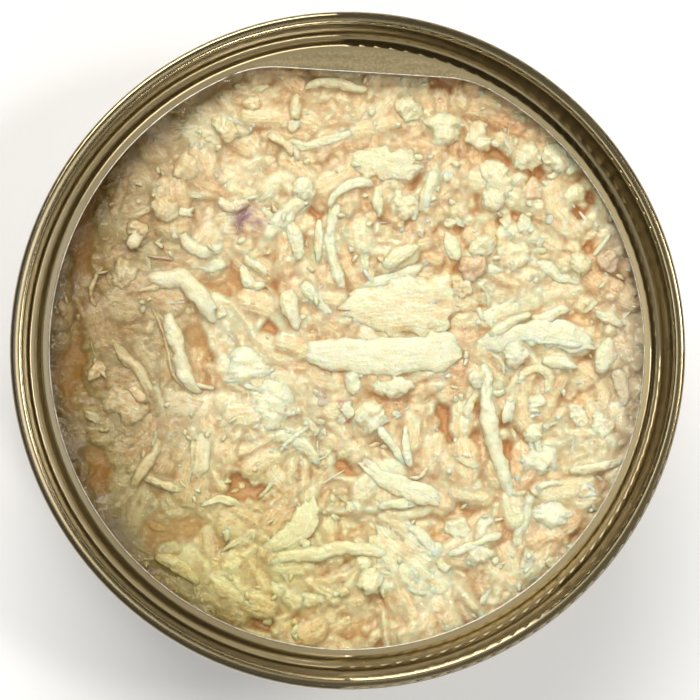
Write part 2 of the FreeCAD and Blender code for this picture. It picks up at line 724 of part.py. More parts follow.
# ---------------------------------------------------------------- build, check and write

def check(parts):
    """Stops on a failed feature, and on a sub-part that isn't sound."""
    for thing in doc.Objects:
        if "Invalid" in thing.State or "Error" in thing.State:
            raise ValueError(f"{thing.Name} failed: {thing.State}")
    for part in parts:
        shape = part.Shape
        if shape.isNull() or not shape.isValid() or shape.Volume <= 0 or not shape.Solids:
            raise ValueError(f"{part.Label} is not a sound solid")


def main():
    fill_sheet()
    parts = [make_can_body(), make_end_ring()] + make_food()
    doc.recompute()
    check(parts)
    os.makedirs("parts", exist_ok=True)
    for part in parts:
        part.Shape.exportStep(f"parts/{part.Label}.step")
        box = part.Shape.BoundBox
        print(f"{part.Label}: {len(part.Shape.Solids)} solid, {part.Shape.Volume:.1f} mm3, "
              f"z {box.ZMin:.2f} to {box.ZMax:.2f}")


main()
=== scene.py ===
import functools
import itertools
import math

import bpy
import bmesh
import numpy as np
from mathutils import Matrix, Vector


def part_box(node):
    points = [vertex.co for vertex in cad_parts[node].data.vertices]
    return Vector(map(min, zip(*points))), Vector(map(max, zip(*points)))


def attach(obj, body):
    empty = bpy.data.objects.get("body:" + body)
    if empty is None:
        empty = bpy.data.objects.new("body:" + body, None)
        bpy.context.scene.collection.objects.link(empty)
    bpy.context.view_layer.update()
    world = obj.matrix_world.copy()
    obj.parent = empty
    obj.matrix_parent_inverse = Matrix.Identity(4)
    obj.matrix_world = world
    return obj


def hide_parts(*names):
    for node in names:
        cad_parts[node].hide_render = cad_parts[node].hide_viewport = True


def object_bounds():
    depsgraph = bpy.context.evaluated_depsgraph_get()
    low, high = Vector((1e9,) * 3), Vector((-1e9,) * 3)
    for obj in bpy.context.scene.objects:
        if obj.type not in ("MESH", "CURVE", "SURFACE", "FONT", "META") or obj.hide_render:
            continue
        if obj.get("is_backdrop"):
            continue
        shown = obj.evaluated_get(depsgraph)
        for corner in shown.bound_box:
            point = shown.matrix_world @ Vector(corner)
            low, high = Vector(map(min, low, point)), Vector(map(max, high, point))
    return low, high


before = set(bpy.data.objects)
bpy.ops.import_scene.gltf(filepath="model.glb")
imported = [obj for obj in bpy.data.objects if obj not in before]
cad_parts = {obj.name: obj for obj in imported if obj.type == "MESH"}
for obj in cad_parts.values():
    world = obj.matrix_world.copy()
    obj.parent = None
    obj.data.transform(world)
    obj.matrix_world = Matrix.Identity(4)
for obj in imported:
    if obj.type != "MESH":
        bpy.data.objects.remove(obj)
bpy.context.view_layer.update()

# ---------------- places read from the CAD, in mm
MM = 0.001
RING_LOW, RING_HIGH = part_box("end_ring")
BED_LOW, BED_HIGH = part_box("chicken_bed")
SEAM_RADIUS = (RING_HIGH.x - RING_LOW.x) / 2 / MM
MIDDLE = ((RING_HIGH + RING_LOW) / 2).xy / MM
RIM_TOP = RING_HIGH.z / MM
OPENING = SEAM_RADIUS * 0.8853  # radius of the torn-out opening
BROTH_LEVEL = RIM_TOP - 6.2
PANEL_TOP = RIM_TOP - 2.55
FOOD_RADIUS = (BED_HIGH.x - BED_LOW.x) / 2 / MM
MEAT_RADIUS = FOOD_RADIUS - 0.3
BROTH_RADIUS = FOOD_RADIUS - 0.4
SEAM_CROWN = SEAM_RADIUS - 0.75  # the middle of the seam's top
FOOD_CEILING = RIM_TOP - 4.7  # the food stays under the end's edge out there

# ---------------- settings
HEAP_SHREDS = 2300  # shreds, flakes and curds laid one over another in the relief of the heap
HEAP_SEED, PIECE_SEED, EXTRA_SEED = 41, 11, 211
HEAP_DEPTH, BROTH_DEPTH = 9, 8  # mm from the broth's level to the hidden undersides
HIDING_DEPTH = 1.6  # mm of broth that hide the meat
CELL = 0.2  # mm between the points of the heap's charts
HALF = FOOD_RADIUS + 1.0  # mm, half the width of the charts
SIDE = int(2 * HALF / CELL) + 1
GRID_X, GRID_Y = np.meshgrid(np.linspace(-HALF, HALF, SIDE), np.linspace(-HALF, HALF, SIDE), indexing="ij")
CURD_SIZE = 0.62  # mm, the finest lumps on a piece of meat
END_DIP = 0.35  # mm that the ends of a piece sink into the heap
LACQUER = (152, 138, 104)
FLOOR_PAINT, FLOOR_GLOW = (0.86, 0.86, 0.86, 1), 0.16
LAMP_COLOUR = (1.0, 0.98, 0.95)
CAMERA_LEAN = (5.0, 1.4)  # degrees from straight above, towards -X and -Y
CAMERA_AWAY = 0.45  # m
CAMERA_LENS = 180.8

# ---------------- the pieces of meat
# form, paleness, lift, thickness, then (x, y, width) along the piece, in mm from the opening's middle
PIECES = {
    "slab_middle": ("slab", 0.8, 1, 2.6, ((-7, 0.6, 1), (-5, 0.1, 3.3), (-2, -0.3, 4.9), (1.9, -0.6, 5.4),
        (7, -0.5, 5.1), (11.6, -0.1, 5.1), (14.5, 0.3, 4.1), (15.7, 0.4, 1.3))),
    "slab_behind": ("flake", 0.6, 0.75, 2, ((-0.9, 4.6, 2.6), (1.9, 5.2, 5.1), (6.4, 5.6, 6.9), (10.9, 6, 8),
        (14.1, 6.1, 6.4), (15.4, 5.8, 2.8))),
    "strip_behind": ("strip", 0.75, 1.1, 1.5, ((0.9, 7.4, 0.9), (3.8, 8.5, 1.7), (7, 9.7, 1.8), (9.9, 10.7, 1))),
    "strip_dogbone": ("strip", 0.85, 1.7, 1.6, ((-5.9, 9.3, 1.8), (-4.8, 7.6, 1.3), (-3.5, 6, 1.4),
        (-2.3, 4.2, 1.9))),
    "strip_c": ("strip", 0.85, 1.7, 1.7, ((0.9, 20.5, 1), (-0.9, 18.2, 1.4), (-1.7, 15.1, 1.5), (-1.2, 11.8, 1.5),
        (0.1, 7.6, 1.7))),
    "strip_upright": ("strip", 0.75, 0.85, 1.5, ((2, 16.8, 1), (2.3, 14.1, 1.5), (2.5, 11.2, 1.5), (2.4, 9.3, 1))),
    "strip_upper": ("strip", 0.8, 1.2, 1.5, ((11.6, 24.7, 1.2), (11, 22.4, 1.7), (10.3, 19.9, 1.7),
        (9.7, 17.8, 1.2))),
    "block_upper": ("lump", 0.6, 0.6, 2.2, ((5.9, 21, 2.8), (7, 19, 3.7), (8.1, 16.6, 2.8))),
    "flake_upper": ("flake", 0.75, 1.2, 2, ((0.4, 26.5, 1.8), (2.5, 25.4, 3.9), (5.5, 24.7, 4.6), (8.3, 24.9, 3.9),
        (10, 25.1, 1.8))),
    "lump_upper": ("lump", 0.8, 1.3, 3.2, ((13, 31.6, 3.3), (12.7, 28.7, 4.6), (12.5, 25.9, 3.1))),
    "lump_upper_right": ("lump", 0.7, 0.6, 2.4, ((17.9, 24.6, 2.8), (19.7, 21.8, 3.6), (21.5, 18.7, 2.6))),
    "lump_pink": ("lump", 0.45, 0.6, 2.4, ((24.8, 22.8, 2.6), (24.5, 20.8, 3.5), (24.3, 18.6, 2.3))),
    "lump_bright": ("lump", 0.95, 0.6, 2.4, ((25.7, 18.4, 2.3), (27.4, 16.9, 3.3), (29, 15.2, 2.3))),
    "mass_right": ("lump", 0.6, 0.55, 2.4, ((20.7, 17.2, 3.3), (21.6, 13.4, 4.4), (22.5, 9.6, 3.1))),
    "strip_tail": ("strip", 0.75, 0.8, 1.5, ((24, 11.8, 1.5), (26.1, 10.7, 1.9), (28.4, 9.3, 1.3), (31.4, 8.4, 0.5))),
    "strip_rim_right": ("strip", 0.55, 0.5, 1.4, ((31.5, 12.8, 1), (32.8, 10.5, 2.3), (34.3, 7.4, 2.2),
        (35.6, 4.7, 0.8))),
    "strip_striated": ("flake", 0.75, 0.85, 1.8, ((17.2, 3.3, 1.5), (19.3, 4.6, 2.8), (21.5, 5.8, 2.6),
        (23.4, 6.7, 1.3))),
    "leaf_right": ("flake", 0.95, 1.9, 2, ((15.4, 0.6, 1.3), (18.6, 1.5, 2.8), (22.5, 2.8, 3.6), (27, 2.5, 3.9),
        (30.8, 1.6, 3.1), (33.2, 1.1, 1))),
    "strip_long": ("strip", 0.95, 2.2, 1.9, ((18.1, -1.5, 1.7), (18.8, -3.9, 1.8), (18.8, -6.5, 1.8),
        (18.9, -8.8, 2.6), (19.8, -12.7, 1.8), (20.9, -16.5, 1.8), (22, -20, 1.3))),
    "flake_torn": ("lump", 0.95, 0.8, 1.9, ((24.4, -5.2, 2.3), (24.4, -7, 3.3), (24.2, -9.1, 2.1))),
    "lump_yellow": ("lump", 0.9, 0.7, 2.8, ((22.2, -14.6, 2.6), (25.1, -14.2, 4.2), (28.1, -13.8, 2.6))),
    "lump_rim": ("lump", 0.7, 0.6, 2.2, ((30.2, -16.3, 2.3), (31.2, -18.1, 3.5), (32.4, -20.1, 2.1))),
    "chunk_knobbly": ("lump", 1, 0.9, 2.8, ((27.1, -19.1, 3.1), (26.7, -21.3, 4.5), (26.3, -23.6, 2.8))),
    "strip_low_right": ("strip", 0.8, 0.85, 1.6, ((24.3, -17.3, 1.2), (23.4, -20, 1.8), (22.7, -23.2, 1.8),
        (22.1, -26.7, 1))),
    "curl_low_right": ("strip", 0.8, 1.3, 1.6, ((19.9, -21.2, 1.2), (18.6, -22.6, 1.8), (17.9, -24.8, 1.8),
        (18.4, -26.8, 1.2))),
    "strip_ragged": ("flake", 0.85, 1.3, 1.8, ((1.8, -13.5, 1.3), (4.2, -15.8, 2.1), (7, -17.3, 2.6),
        (10.3, -18.2, 2.3), (13.6, -19.4, 1))),
    "curl_middle": ("strip", 0.8, 1.2, 1.5, ((-10.4, -11.8, 1.2), (-8.1, -11.1, 1.7), (-5.8, -11.9, 1.7),
        (-3.4, -14.9, 1.2))),
    "lump_left": ("lump", 0.8, 1.4, 3.6, ((-13, 0.8, 4.4), (-13, -2.1, 6.2), (-12.8, -5.1, 4.4))),
    "lump_left_low": ("lump", 0.85, 1.3, 3.8, ((-7.6, -3.7, 4.4), (-9.4, -7.2, 6.9), (-10.7, -10.8, 4.4))),
    "lump_oval": ("lump", 0.5, 0.55, 2.2, ((-3.5, -4.5, 2.1), (-3.5, -6.8, 3.1), (-3.5, -9.1, 2.1))),
    "lump_glossy": ("lump", 0.75, 0.75, 2.2, ((-1.2, -5.7, 2.1), (-0.2, -7.9, 3.3), (0.9, -10.1, 1.8))),
    "hook_left": ("strip", 0.9, 1.1, 2, ((-25.5, 9.1, 2.1), (-22.8, 9.2, 2.4), (-20.5, 8.8, 2.4), (-18.3, 6.7, 2.3),
        (-16.4, 3.4, 1.5))),
    "strip_left": ("strip", 0.9, 1.4, 1.8, ((-23.2, 5.1, 1.5), (-22.3, 2.1, 2.1), (-21.5, -0.3, 2.1),
        (-20.7, -3.4, 2.1), (-18.7, -5.6, 1.3))),
    "strip_far_left": ("strip", 0.55, 0.7, 1.5, ((-30.5, 2, 1.2), (-29, -0.5, 1.5), (-26.7, -2.5, 1.7),
        (-25, -6.4, 1.2))),
    "chunk_left": ("lump", 0.6, 0.45, 2.4, ((-30.5, 10.5, 2.6), (-28.6, 10, 4.4), (-26.4, 9.4, 2.8))),
    "lump_far_left": ("lump", 0.4, 0.4, 2.4, ((-31.5, -5, 3.6), (-28.6, -6.9, 5.9), (-25.4, -9.1, 3.9))),
    "strip_low_left": ("strip", 0.55, 0.6, 1.4, ((-24.1, -11.3, 1), (-25.1, -13.2, 1.5), (-26.5, -15.5, 1.5),
        (-27.8, -18, 0.9))),
    "strip_wide": ("strip", 0.65, 0.75, 1.8, ((-18.7, -10.4, 2.1), (-18.9, -12.4, 3.1), (-19.2, -14.5, 3.1),
        (-19.4, -16.7, 1.8))),
    "curl_upper_left": ("strip", 0.85, 0.85, 1.6, ((-21.6, 15.9, 1), (-20.7, 13.8, 1.8), (-18.7, 12.4, 2.1),
        (-15.7, 13.4, 1.2))),
    "banana_upper": ("strip", 0.85, 1.2, 1.6, ((-11.7, 15.2, 1.2), (-9.7, 15.7, 1.8), (-7.9, 17, 1.9),
        (-7.1, 19.3, 1.2))),
    "lump_upper_left": ("lump", 0.45, 0.5, 2.2, ((-22.3, 24.9, 2.6), (-20.6, 23.7, 4.1), (-18.9, 22.3, 2.6))),
    "strip_top": ("strip", 0.8, 0.85, 1.5, ((-10.7, 29.5, 1), (-8.4, 28.1, 1.5), (-5.8, 27.4, 1.5), (-2, 28.1, 1.4),
        (0.9, 29, 1.4), (2.9, 31.2, 1.2), (4.2, 33.5, 0.8))),
    "crescent_low": ("flake", 0.85, 1.3, 1.8, ((-5.2, -18.5, 1.5), (-5.6, -20.9, 2.8), (-6.8, -23.5, 3.1),
        (-9.4, -25, 2.3), (-11.7, -25.7, 1))),
    "band_low": ("strip", 0.9, 1.5, 1.8, ((-10.3, -27.1, 1.3), (-7.1, -26.4, 2.1), (-3.2, -25.8, 2.2),
        (0.6, -25.3, 1.9), (5.9, -26.4, 1.2))),
    "fan_low": ("flake", 0.7, 0.6, 2, ((3.3, -22.8, 3.9), (5.5, -25.2, 6.4), (8.3, -27.3, 7.5), (10.9, -29.7, 6.4),
        (13.1, -32.2, 3.3))),
    "curl_bottom": ("strip", 0.7, 0.75, 1.6, ((-10.4, -28.8, 1.2), (-9, -30.8, 1.8), (-6.5, -32.2, 2.1),
        (-3.2, -32, 1.8), (0.1, -30.7, 1))),
    "strips_bottom": ("flake", 0.6, 0.6, 1.6, ((-18.7, -29.1, 1.5), (-16.4, -30, 2.6), (-13.5, -31.2, 2.8),
        (-9.7, -32.7, 1.3))),
}

# smaller shreds, flakes and lumps that lie between them
EXTRAS = {
    "stub_upper": ("strip", 0.75, 1, 1.4, ((4.6, 10.7, 1), (6.8, 12.3, 1.8), (9.2, 13.4, 1))),
    "strip_lumpy": ("strip", 0.75, 1, 1.6, ((-7.2, 8.2, 1.5), (-7.5, 6.4, 2.3), (-7.1, 4.4, 2.3), (-6.5, 2.8, 1.3))),
    "arch_thin": ("strip", 0.8, 0.9, 1.1, ((-2.2, 18.4, 0.8), (-1.8, 20.2, 1.2), (0, 21.5, 1.2), (1.9, 21.8, 1.2),
        (3.4, 21.3, 0.8))),
    "pillar_upper": ("strip", 0.8, 0.9, 1.3, ((3.7, 21.5, 1), (4, 19.6, 1.5), (4.1, 17.4, 1))),
    "fibre_left_a": ("strip", 0.7, 0.8, 1.2, ((-7.4, 17, 1), (-6.8, 14.7, 1.8), (-6.2, 11.6, 1.2))),
    "fibre_left_b": ("strip", 0.7, 0.8, 1.1, ((-3.5, 17, 0.8), (-3.6, 14.3, 1.2), (-3.8, 11.5, 0.8))),
    "loop_a": ("strip", 0.85, 0.9, 1.3, ((-13.5, 11.2, 0.9), (-13.1, 9.7, 1.4), (-12, 8.5, 1.5), (-10.6, 8.4, 1))),
    "loop_b": ("strip", 0.7, 0.8, 1.3, ((-13.5, 12.1, 1), (-12, 11.2, 1.3), (-10.4, 10, 1.2))),
    "wedge_upper": ("lump", 0.9, 0.8, 1.8, ((-7, 21.5, 2.1), (-5.7, 20.8, 2.8), (-4.3, 19.9, 1.8))),
    "strip_pale_top": ("strip", 0.65, 0.7, 1.3, ((-10.2, 28.1, 0.9), (-8.6, 26.9, 1.3), (-6.6, 25.4, 0.9))),
    "upright_top_a": ("strip", 0.7, 0.6, 1.3, ((-6.6, 33.1, 0.9), (-6.7, 31.4, 1.4), (-6.8, 29.6, 0.9))),
    "upright_top_b": ("lump", 0.55, 0.5, 1.6, ((-12.2, 33.1, 1.8), (-12.1, 31.9, 2.1), (-12, 30.8, 1.5))),
    "lump_top_b": ("lump", 0.7, 0.5, 2.2, ((16.8, 30, 2.1), (17.3, 28, 2.8), (17.9, 25.8, 1.8))),
    "lump_chain_b": ("lump", 0.75, 0.6, 2, ((18.1, 21, 2.3), (18.9, 19.5, 2.8), (19.9, 18.2, 1.8))),
    "lump_top_c": ("lump", 0.6, 0.5, 2.2, ((21.7, 26.5, 2.6), (23.3, 25.4, 3.5), (25.1, 24, 2.3))),
    "lump_mid_right": ("lump", 0.8, 0.6, 1.8, ((22.4, 17.4, 1.8), (23.3, 16.5, 2.6), (24.4, 15.5, 1.5))),
    "lump_wide": ("lump", 0.75, 0.6, 2, ((16.6, 14.8, 2.3), (17.5, 13.7, 3.1), (18.5, 12.3, 2.1))),
    "pillar_mid": ("strip", 0.85, 0.9, 1.5, ((13, 15.4, 1.3), (13.7, 13.7, 2.1), (14.5, 11.9, 1.3))),
    "lump_translucent": ("lump", 0.3, 0.6, 2.2, ((14.8, 11.8, 2.6), (16.3, 10.9, 3.6), (18, 10, 2.6))),
    "ball_small": ("lump", 0.85, 0.9, 1.6, ((13.4, 17.4, 1.5), (13.7, 16.8, 1.9), (14.1, 16.1, 1.3))),
    "stick_rim_a": ("fibre", 0.9, 0.9, 0.7, ((32, 12.5, 0.5), (33, 13.8, 0.6), (34.3, 15.4, 0.5))),
    "pair_rim": ("lump", 0.7, 0.6, 1.8, ((29.7, 12.8, 1.5), (30.3, 11.2, 2.3), (31, 9.7, 1.3))),
    "rim_a": ("lump", 0.7, 0.5, 1.8, ((25.6, 26.7, 1.8), (27.1, 25.3, 2.6), (28.8, 23.7, 1.8))),
    "lilac_rim": ("lump", 0.3, 0.2, 1.4, ((33, 13, 1.6), (34, 11.6, 2.4), (34.9, 10.2, 1.4))),
    "oval_mid": ("lump", 0.45, 0.6, 2, ((13.4, 7.9, 1.8), (14.9, 8.2, 2.7), (16.4, 8.5, 1.8))),
    "striated_b": ("strip", 0.75, 0.9, 1.2, ((18.1, 2, 0.9), (20.6, 3.3, 1.3), (23.8, 4.8, 0.9))),
    "strip_cross": ("strip", 0.85, 0.8, 1.3, ((23.6, 4.2, 0.9), (26.3, 4.7, 1.4), (29.3, 5.5, 0.9))),
    "leaf_lobe": ("lump", 0.85, 0.9, 2, ((22.5, 1.5, 2.8), (22, -0.3, 3.6), (21.5, -2.4, 2.3))),
    "leaf_rib": ("strip", 0.8, 1.3, 0.9, ((22.5, 1.7, 0.8), (27, 1.1, 0.9), (31.5, 0.8, 0.5))),
    "short_right": ("strip", 0.9, 0.8, 1.5, ((25.4, -1.1, 1.2), (27.6, -1.5, 1.8), (29.9, -1.9, 1.2))),
    "strip_long_lobe": ("lump", 0.8, 0.9, 1.5, ((16.6, -2.4, 1.5), (17.1, -3.7, 2.2), (17.6, -5, 1.3))),
    "thin_mid": ("strip", 0.75, 0.9, 1.2, ((15.3, -9.1, 0.8), (15.9, -7, 1.2), (17.3, -5, 0.8))),
    "arch_right": ("strip", 0.7, 0.9, 1.3, ((22.4, -4.5, 1), (23, -2.8, 1.3), (24.8, -2.3, 1.4), (26.5, -3.7, 1.4),
        (25.8, -6.3, 1))),
    "torn_below": ("lump", 0.8, 0.7, 1.6, ((23.5, -9.6, 1.8), (24.2, -10.5, 2.6), (25.3, -11.4, 1.5))),
    "white_rim": ("strip", 0.9, 0.8, 1.6, ((34.2, 1.9, 1.3), (33.7, -0.5, 2.4), (32.8, -2.9, 1.2))),
    "strip_rim_b": ("strip", 0.7, 0.5, 1.4, ((34.6, -1.4, 1), (35.6, -3.7, 1.9), (36.2, -5.9, 1.8),
        (35.6, -7.7, 0.9))),
    "stick_rim_b": ("strip", 0.85, 0.7, 1.3, ((32.4, 5.2, 0.9), (33.9, 4.3, 1.5), (35.9, 3.1, 0.9))),
    "flake_loose_a": ("lump", 0.8, 0.6, 1.5, ((29.3, -6.8, 1.5), (30.2, -8.3, 2.3), (31.5, -9.6, 1.5))),
    "flake_loose_b": ("lump", 0.85, 0.6, 1.5, ((32.3, -7.8, 1.5), (33.5, -10.1, 2.6), (34.6, -12.2, 1.5))),
    "stick_right_low": ("strip", 0.8, 0.8, 1.4, ((28.9, -15.8, 1), (31.5, -15.1, 1.4), (36, -14.2, 1))),
    "arc_thin": ("strip", 0.85, 0.9, 1, ((24.7, -18.1, 0.6), (26.1, -17.1, 0.9), (28.1, -17.2, 0.6))),
    "shred_low_a": ("strip", 0.75, 0.8, 1.2, ((20.2, -23.5, 0.8), (16.7, -25, 1.2), (13, -26.3, 0.8))),
    "lump_low_b": ("lump", 0.75, 0.6, 2, ((12.6, -22.5, 1.8), (14.4, -23.1, 3.1), (16.3, -23.6, 2.1))),
    "flake_bright_low": ("lump", 0.95, 0.8, 1.7, ((15.3, -27.5, 1.3), (17.1, -26.7, 2.1), (19.1, -25.9, 1.3))),
    "vee_left": ("strip", 0.9, 1.1, 1.1, ((3.6, -9.6, 0.8), (5.5, -12, 1.2), (7.9, -15, 0.9))),
    "vee_right": ("strip", 0.85, 1.1, 1.1, ((7.3, -9.5, 0.8), (7.6, -12.2, 1.2), (8.1, -15, 0.8))),
    "lump_right_c": ("lump", 0.8, 0.7, 2, ((3.2, -5, 2.1), (5.9, -4.7, 3), (8.8, -4.3, 2.3))),
    "lump_small_c": ("lump", 0.85, 0.8, 1.8, ((-0.5, -4.5, 1.8), (0.6, -4.3, 2.4), (2, -4.2, 1.8))),
    "lump_mid_c": ("lump", 0.8, 0.7, 2.4, ((1.4, -6.8, 2.8), (2.9, -8.2, 3.9), (4.7, -9.9, 2.8))),
    "strip_short_low": ("strip", 0.8, 0.9, 1.3, ((3.6, -19.9, 0.8), (6.4, -19.6, 1.3), (9.2, -19.8, 0.8))),
    "rib_far_left": ("strip", 0.45, 0.7, 0.8, ((-31.9, 5.2, 0.5), (-32.8, 7, 0.6), (-32.6, 9.1, 0.6),
        (-31.5, 10.9, 0.5))),
    "ball_left": ("lump", 0.45, 0.5, 1.8, ((-33.1, -1.9, 1.8), (-32.1, -2.5, 2.6), (-31, -3, 1.8))),
    "stick_pink": ("strip", 0.35, 0.8, 1.2, ((-28.1, -5, 1), (-27, -5.6, 1.5), (-26, -6.4, 1))),
    "strip_cross_left": ("strip", 0.6, 0.7, 1.2, ((-26.1, -16.2, 0.9), (-23.8, -17.2, 1.3), (-21.1, -18.1, 0.9))),
    "fibre_pink": ("fibre", 0.45, 1, 0.35, ((-25.4, 6.1, 0.3), (-23.8, 2.5, 0.35), (-22.9, -1.4, 0.35),
        (-21.9, -3.9, 0.35), (-20, -5.9, 0.3))),
    "fibre_dark": ("fibre", 0.05, 0.6, 0.4, ((-26.1, 12.4, 0.4), (-24.2, 12, 0.4), (-22.3, 11.8, 0.4))),
    "lump_mid_left": ("lump", 0.45, 0.5, 2.2, ((-27.7, 16.9, 1.8), (-26.9, 15.6, 3.1), (-26.4, 14.2, 1.8))),
    "flake_yellow_low": ("strip", 0.7, 0.8, 0.9, ((-18.8, -20.1, 0.8), (-16.1, -19.1, 1), (-13.4, -20, 0.6))),
    "lump_bottom_b": ("lump", 0.9, 0.7, 2.2, ((1.4, -28.9, 2.3), (2.7, -29.8, 3.7), (4.2, -30.9, 2.3))),
    "strips_bottom_left": ("strip", 0.55, 0.6, 1.4, ((-24.6, -26.1, 1.2), (-21.8, -27.6, 1.8), (-18.7, -30, 1.2))),
    "fan_edge": ("strip", 0.95, 1.1, 1.2, ((7, -22.1, 1), (10.3, -24.5, 1.4), (13, -27.9, 1))),
    "curl_upper_b": ("strip", 0.75, 0.8, 1.2, ((-16.9, 19.7, 0.9), (-15.3, 18.4, 1.3), (-12.8, 19.2, 0.9))),
    "band_top": ("strip", 0.6, 0.5, 1.4, ((-5.8, 34.1, 1), (-2, 34.7, 1.5), (2.7, 33.9, 1))),
    "lump_top_d": ("lump", 0.65, 0.4, 1.8, ((6.4, 32.6, 2.1), (8.1, 31.6, 3.1), (9.9, 30.5, 1.8))),
    "lump_top_e": ("lump", 0.55, 0.4, 1.8, ((-17.6, 29.8, 1.8), (-15.8, 28.5, 2.8), (-14, 27.7, 1.5))),
    "lump_left_d": ("lump", 0.5, 0.5, 2, ((-25.1, 19.7, 2.1), (-23.3, 18.4, 3.3), (-21.5, 17.7, 2.1))),
}

# forms of meat: how far the ends fray, how high and wide the lumps are and the fibres,
# how flat and how square, how blunt the ends are, how uneven the edge
FORM_FACTS = ("fray", "lumps", "lump_size", "fibres", "pitch", "flat", "square", "blunt", "edge")
FORMS = {name: dict(zip(FORM_FACTS, facts)) for name, facts in {
    "slab": (1.2, 0.14, 2.4, 0.10, 0.70, 0.42, 0.55, 6.0, 0.10),
    "flake": (1.8, 0.22, 1.7, 0.20, 0.62, 0.50, 0.60, 6.0, 0.22),
    "strip": (0.8, 0.15, 1.2, 0.17, 0.50, 0.80, 0.80, 7.0, 0.13),
    "lump": (0.5, 0.46, 1.1, 0.04, 0.60, 0.75, 0.80, 3.0, 0.22),
    "fibre": (0.2, 0.05, 0.8, 0.02, 0.30, 1.0, 1.0, 9.0, 0.05),
}.items()}
# how red, how grey: 0 is plain meat
BLUSH = {"lump_glossy": (0.85, 0.0), "lump_oval": (0.0, 0.85), "lilac_rim": (0.12, 0.5), "fibre_pink": (0.35, 0.0),
         "lump_pink": (0.22, 0.1), "stick_pink": (0.3, 0.0), "lump_translucent": (0.15, 0.3), "fibre_dark": (0.2, 0.5),
         "curl_upper_b": (0.25, 0.2), "strip_rim_right": (0.05, 0.35), "strip_rim_b": (0.0, 0.3)}
# places of the broth between the heaps: share of the opening along X and Y, then half sizes in mm
POOLS = ((-0.88, 0.40, 3.4, 9.0), (-0.93, -0.06, 3.2, 6.5), (-0.84, -0.38, 4.0, 3.4), (-0.38, 0.22, 4.4, 3.0),
         (-0.50, 0.05, 3.0, 4.0), (-0.32, 0.66, 5.4, 2.6), (-0.56, -0.60, 6.4, 3.4), (0.08, -0.62, 4.6, 2.2),
         (0.46, 0.68, 4.4, 2.6), (0.36, 0.33, 2.8, 4.0), (0.80, -0.14, 4.8, 3.4), (0.74, 0.13, 5.4, 2.0),
         (0.36, -0.58, 3.8, 2.4), (-0.02, -0.90, 6.0, 2.2))


# ---------------- shapes worked out in numpy
def cloud(x, y, z=0.0, seed=0):
    """Smooth uneven values from -1 to 1, about one swell to a unit."""
    z = x * 0 + z
    low = [np.floor(c).astype(np.int64) for c in (x, y, z)]
    part = [c - f for c, f in zip((x, y, z), low)]
    part = [f * f * (3 - 2 * f) for f in part]
    total = 0
    for i, j, k in itertools.product((0, 1), repeat=3):
        mix = (low[0] + i) * 374761393 + (low[1] + j) * 668265263 + (low[2] + k) * 1440662683 + seed * 97531
        mix = mix & 0xFFFFFFFF
        mix = ((mix ^ (mix >> 13)) * 1274126177) & 0xFFFFFFFF
        value = ((mix ^ (mix >> 16)) & 0xFFFF) / 32767.5 - 1
        total = total + value * (part[0] if i else 1 - part[0]) * (part[1] if j else 1 - part[1]) * (
            part[2] if k else 1 - part[2])
    return total


def fibres(across, along, pitch, seed):
    """Fine ridges that run along a piece of meat, 0 in the valleys and 1 on the ridges."""
    drift = cloud(along / 3.1, across / 2.0, seed=seed + 5) * 0.5
    return 1 - np.abs(cloud(across / pitch + drift, along / (pitch * 9), seed=seed))


def step(low, high, value):
    """0 at low, 1 at high, and smooth in between."""
    share = np.clip((value - low) / (high - low), 0, 1)
    return share * share * (3 - 2 * share)


def common_lie(x, y):
    """The way that pieces tend to lie at a place, as an angle."""
    return cloud(np.array([x / 9]), np.array([y / 9]), seed=12)[0] * 2.6


def draw_place(rng, reach):
    """A random place within a reach of the middle, in mm."""
    far, turn = reach * math.sqrt(rng.random()), rng.random() * 2 * math.pi
    return far * math.cos(turn), far * math.sin(turn)


class Run:
    """The middle line of a piece, with its width, read at any share of its length."""

    def __init__(self, points):
        p = np.array(points, float)
        p = np.vstack([2 * p[0] - p[1], p, 2 * p[-1] - p[-2]])
        t = np.linspace(0, 1, 24, endpoint=False)[:, None]
        parts = []
        for a, b, c, d in zip(p, p[1:], p[2:], p[3:]):
            curve = 2 * b + (c - a) * t + (2 * a - 5 * b + 4 * c - d) * t ** 2
            parts.append(0.5 * (curve + (3 * b - a - 3 * c + d) * t ** 3))
        line = np.vstack(parts + [p[-2][None]])
        gone = np.concatenate([[0], np.cumsum(np.hypot(*np.diff(line[:, :2], axis=0).T))])
        self.length, self.share, self.line = gone[-1], gone / gone[-1], line
        head = np.gradient(line[:, :2], axis=0)
        self.head = head / np.maximum(np.hypot(*head.T), 1e-9)[:, None]

    def at(self, share):
        """The place, the width and the direction at a share of the length."""
        x, y, w = (np.interp(share, self.share, self.line[:, i]) for i in range(3))
        hx, hy = (np.interp(share, self.share, self.head[:, i]) for i in range(2))
        size = np.maximum(np.hypot(hx, hy), 1e-9)
        return x, y, np.maximum(w, 0.15), hx / size, hy / size


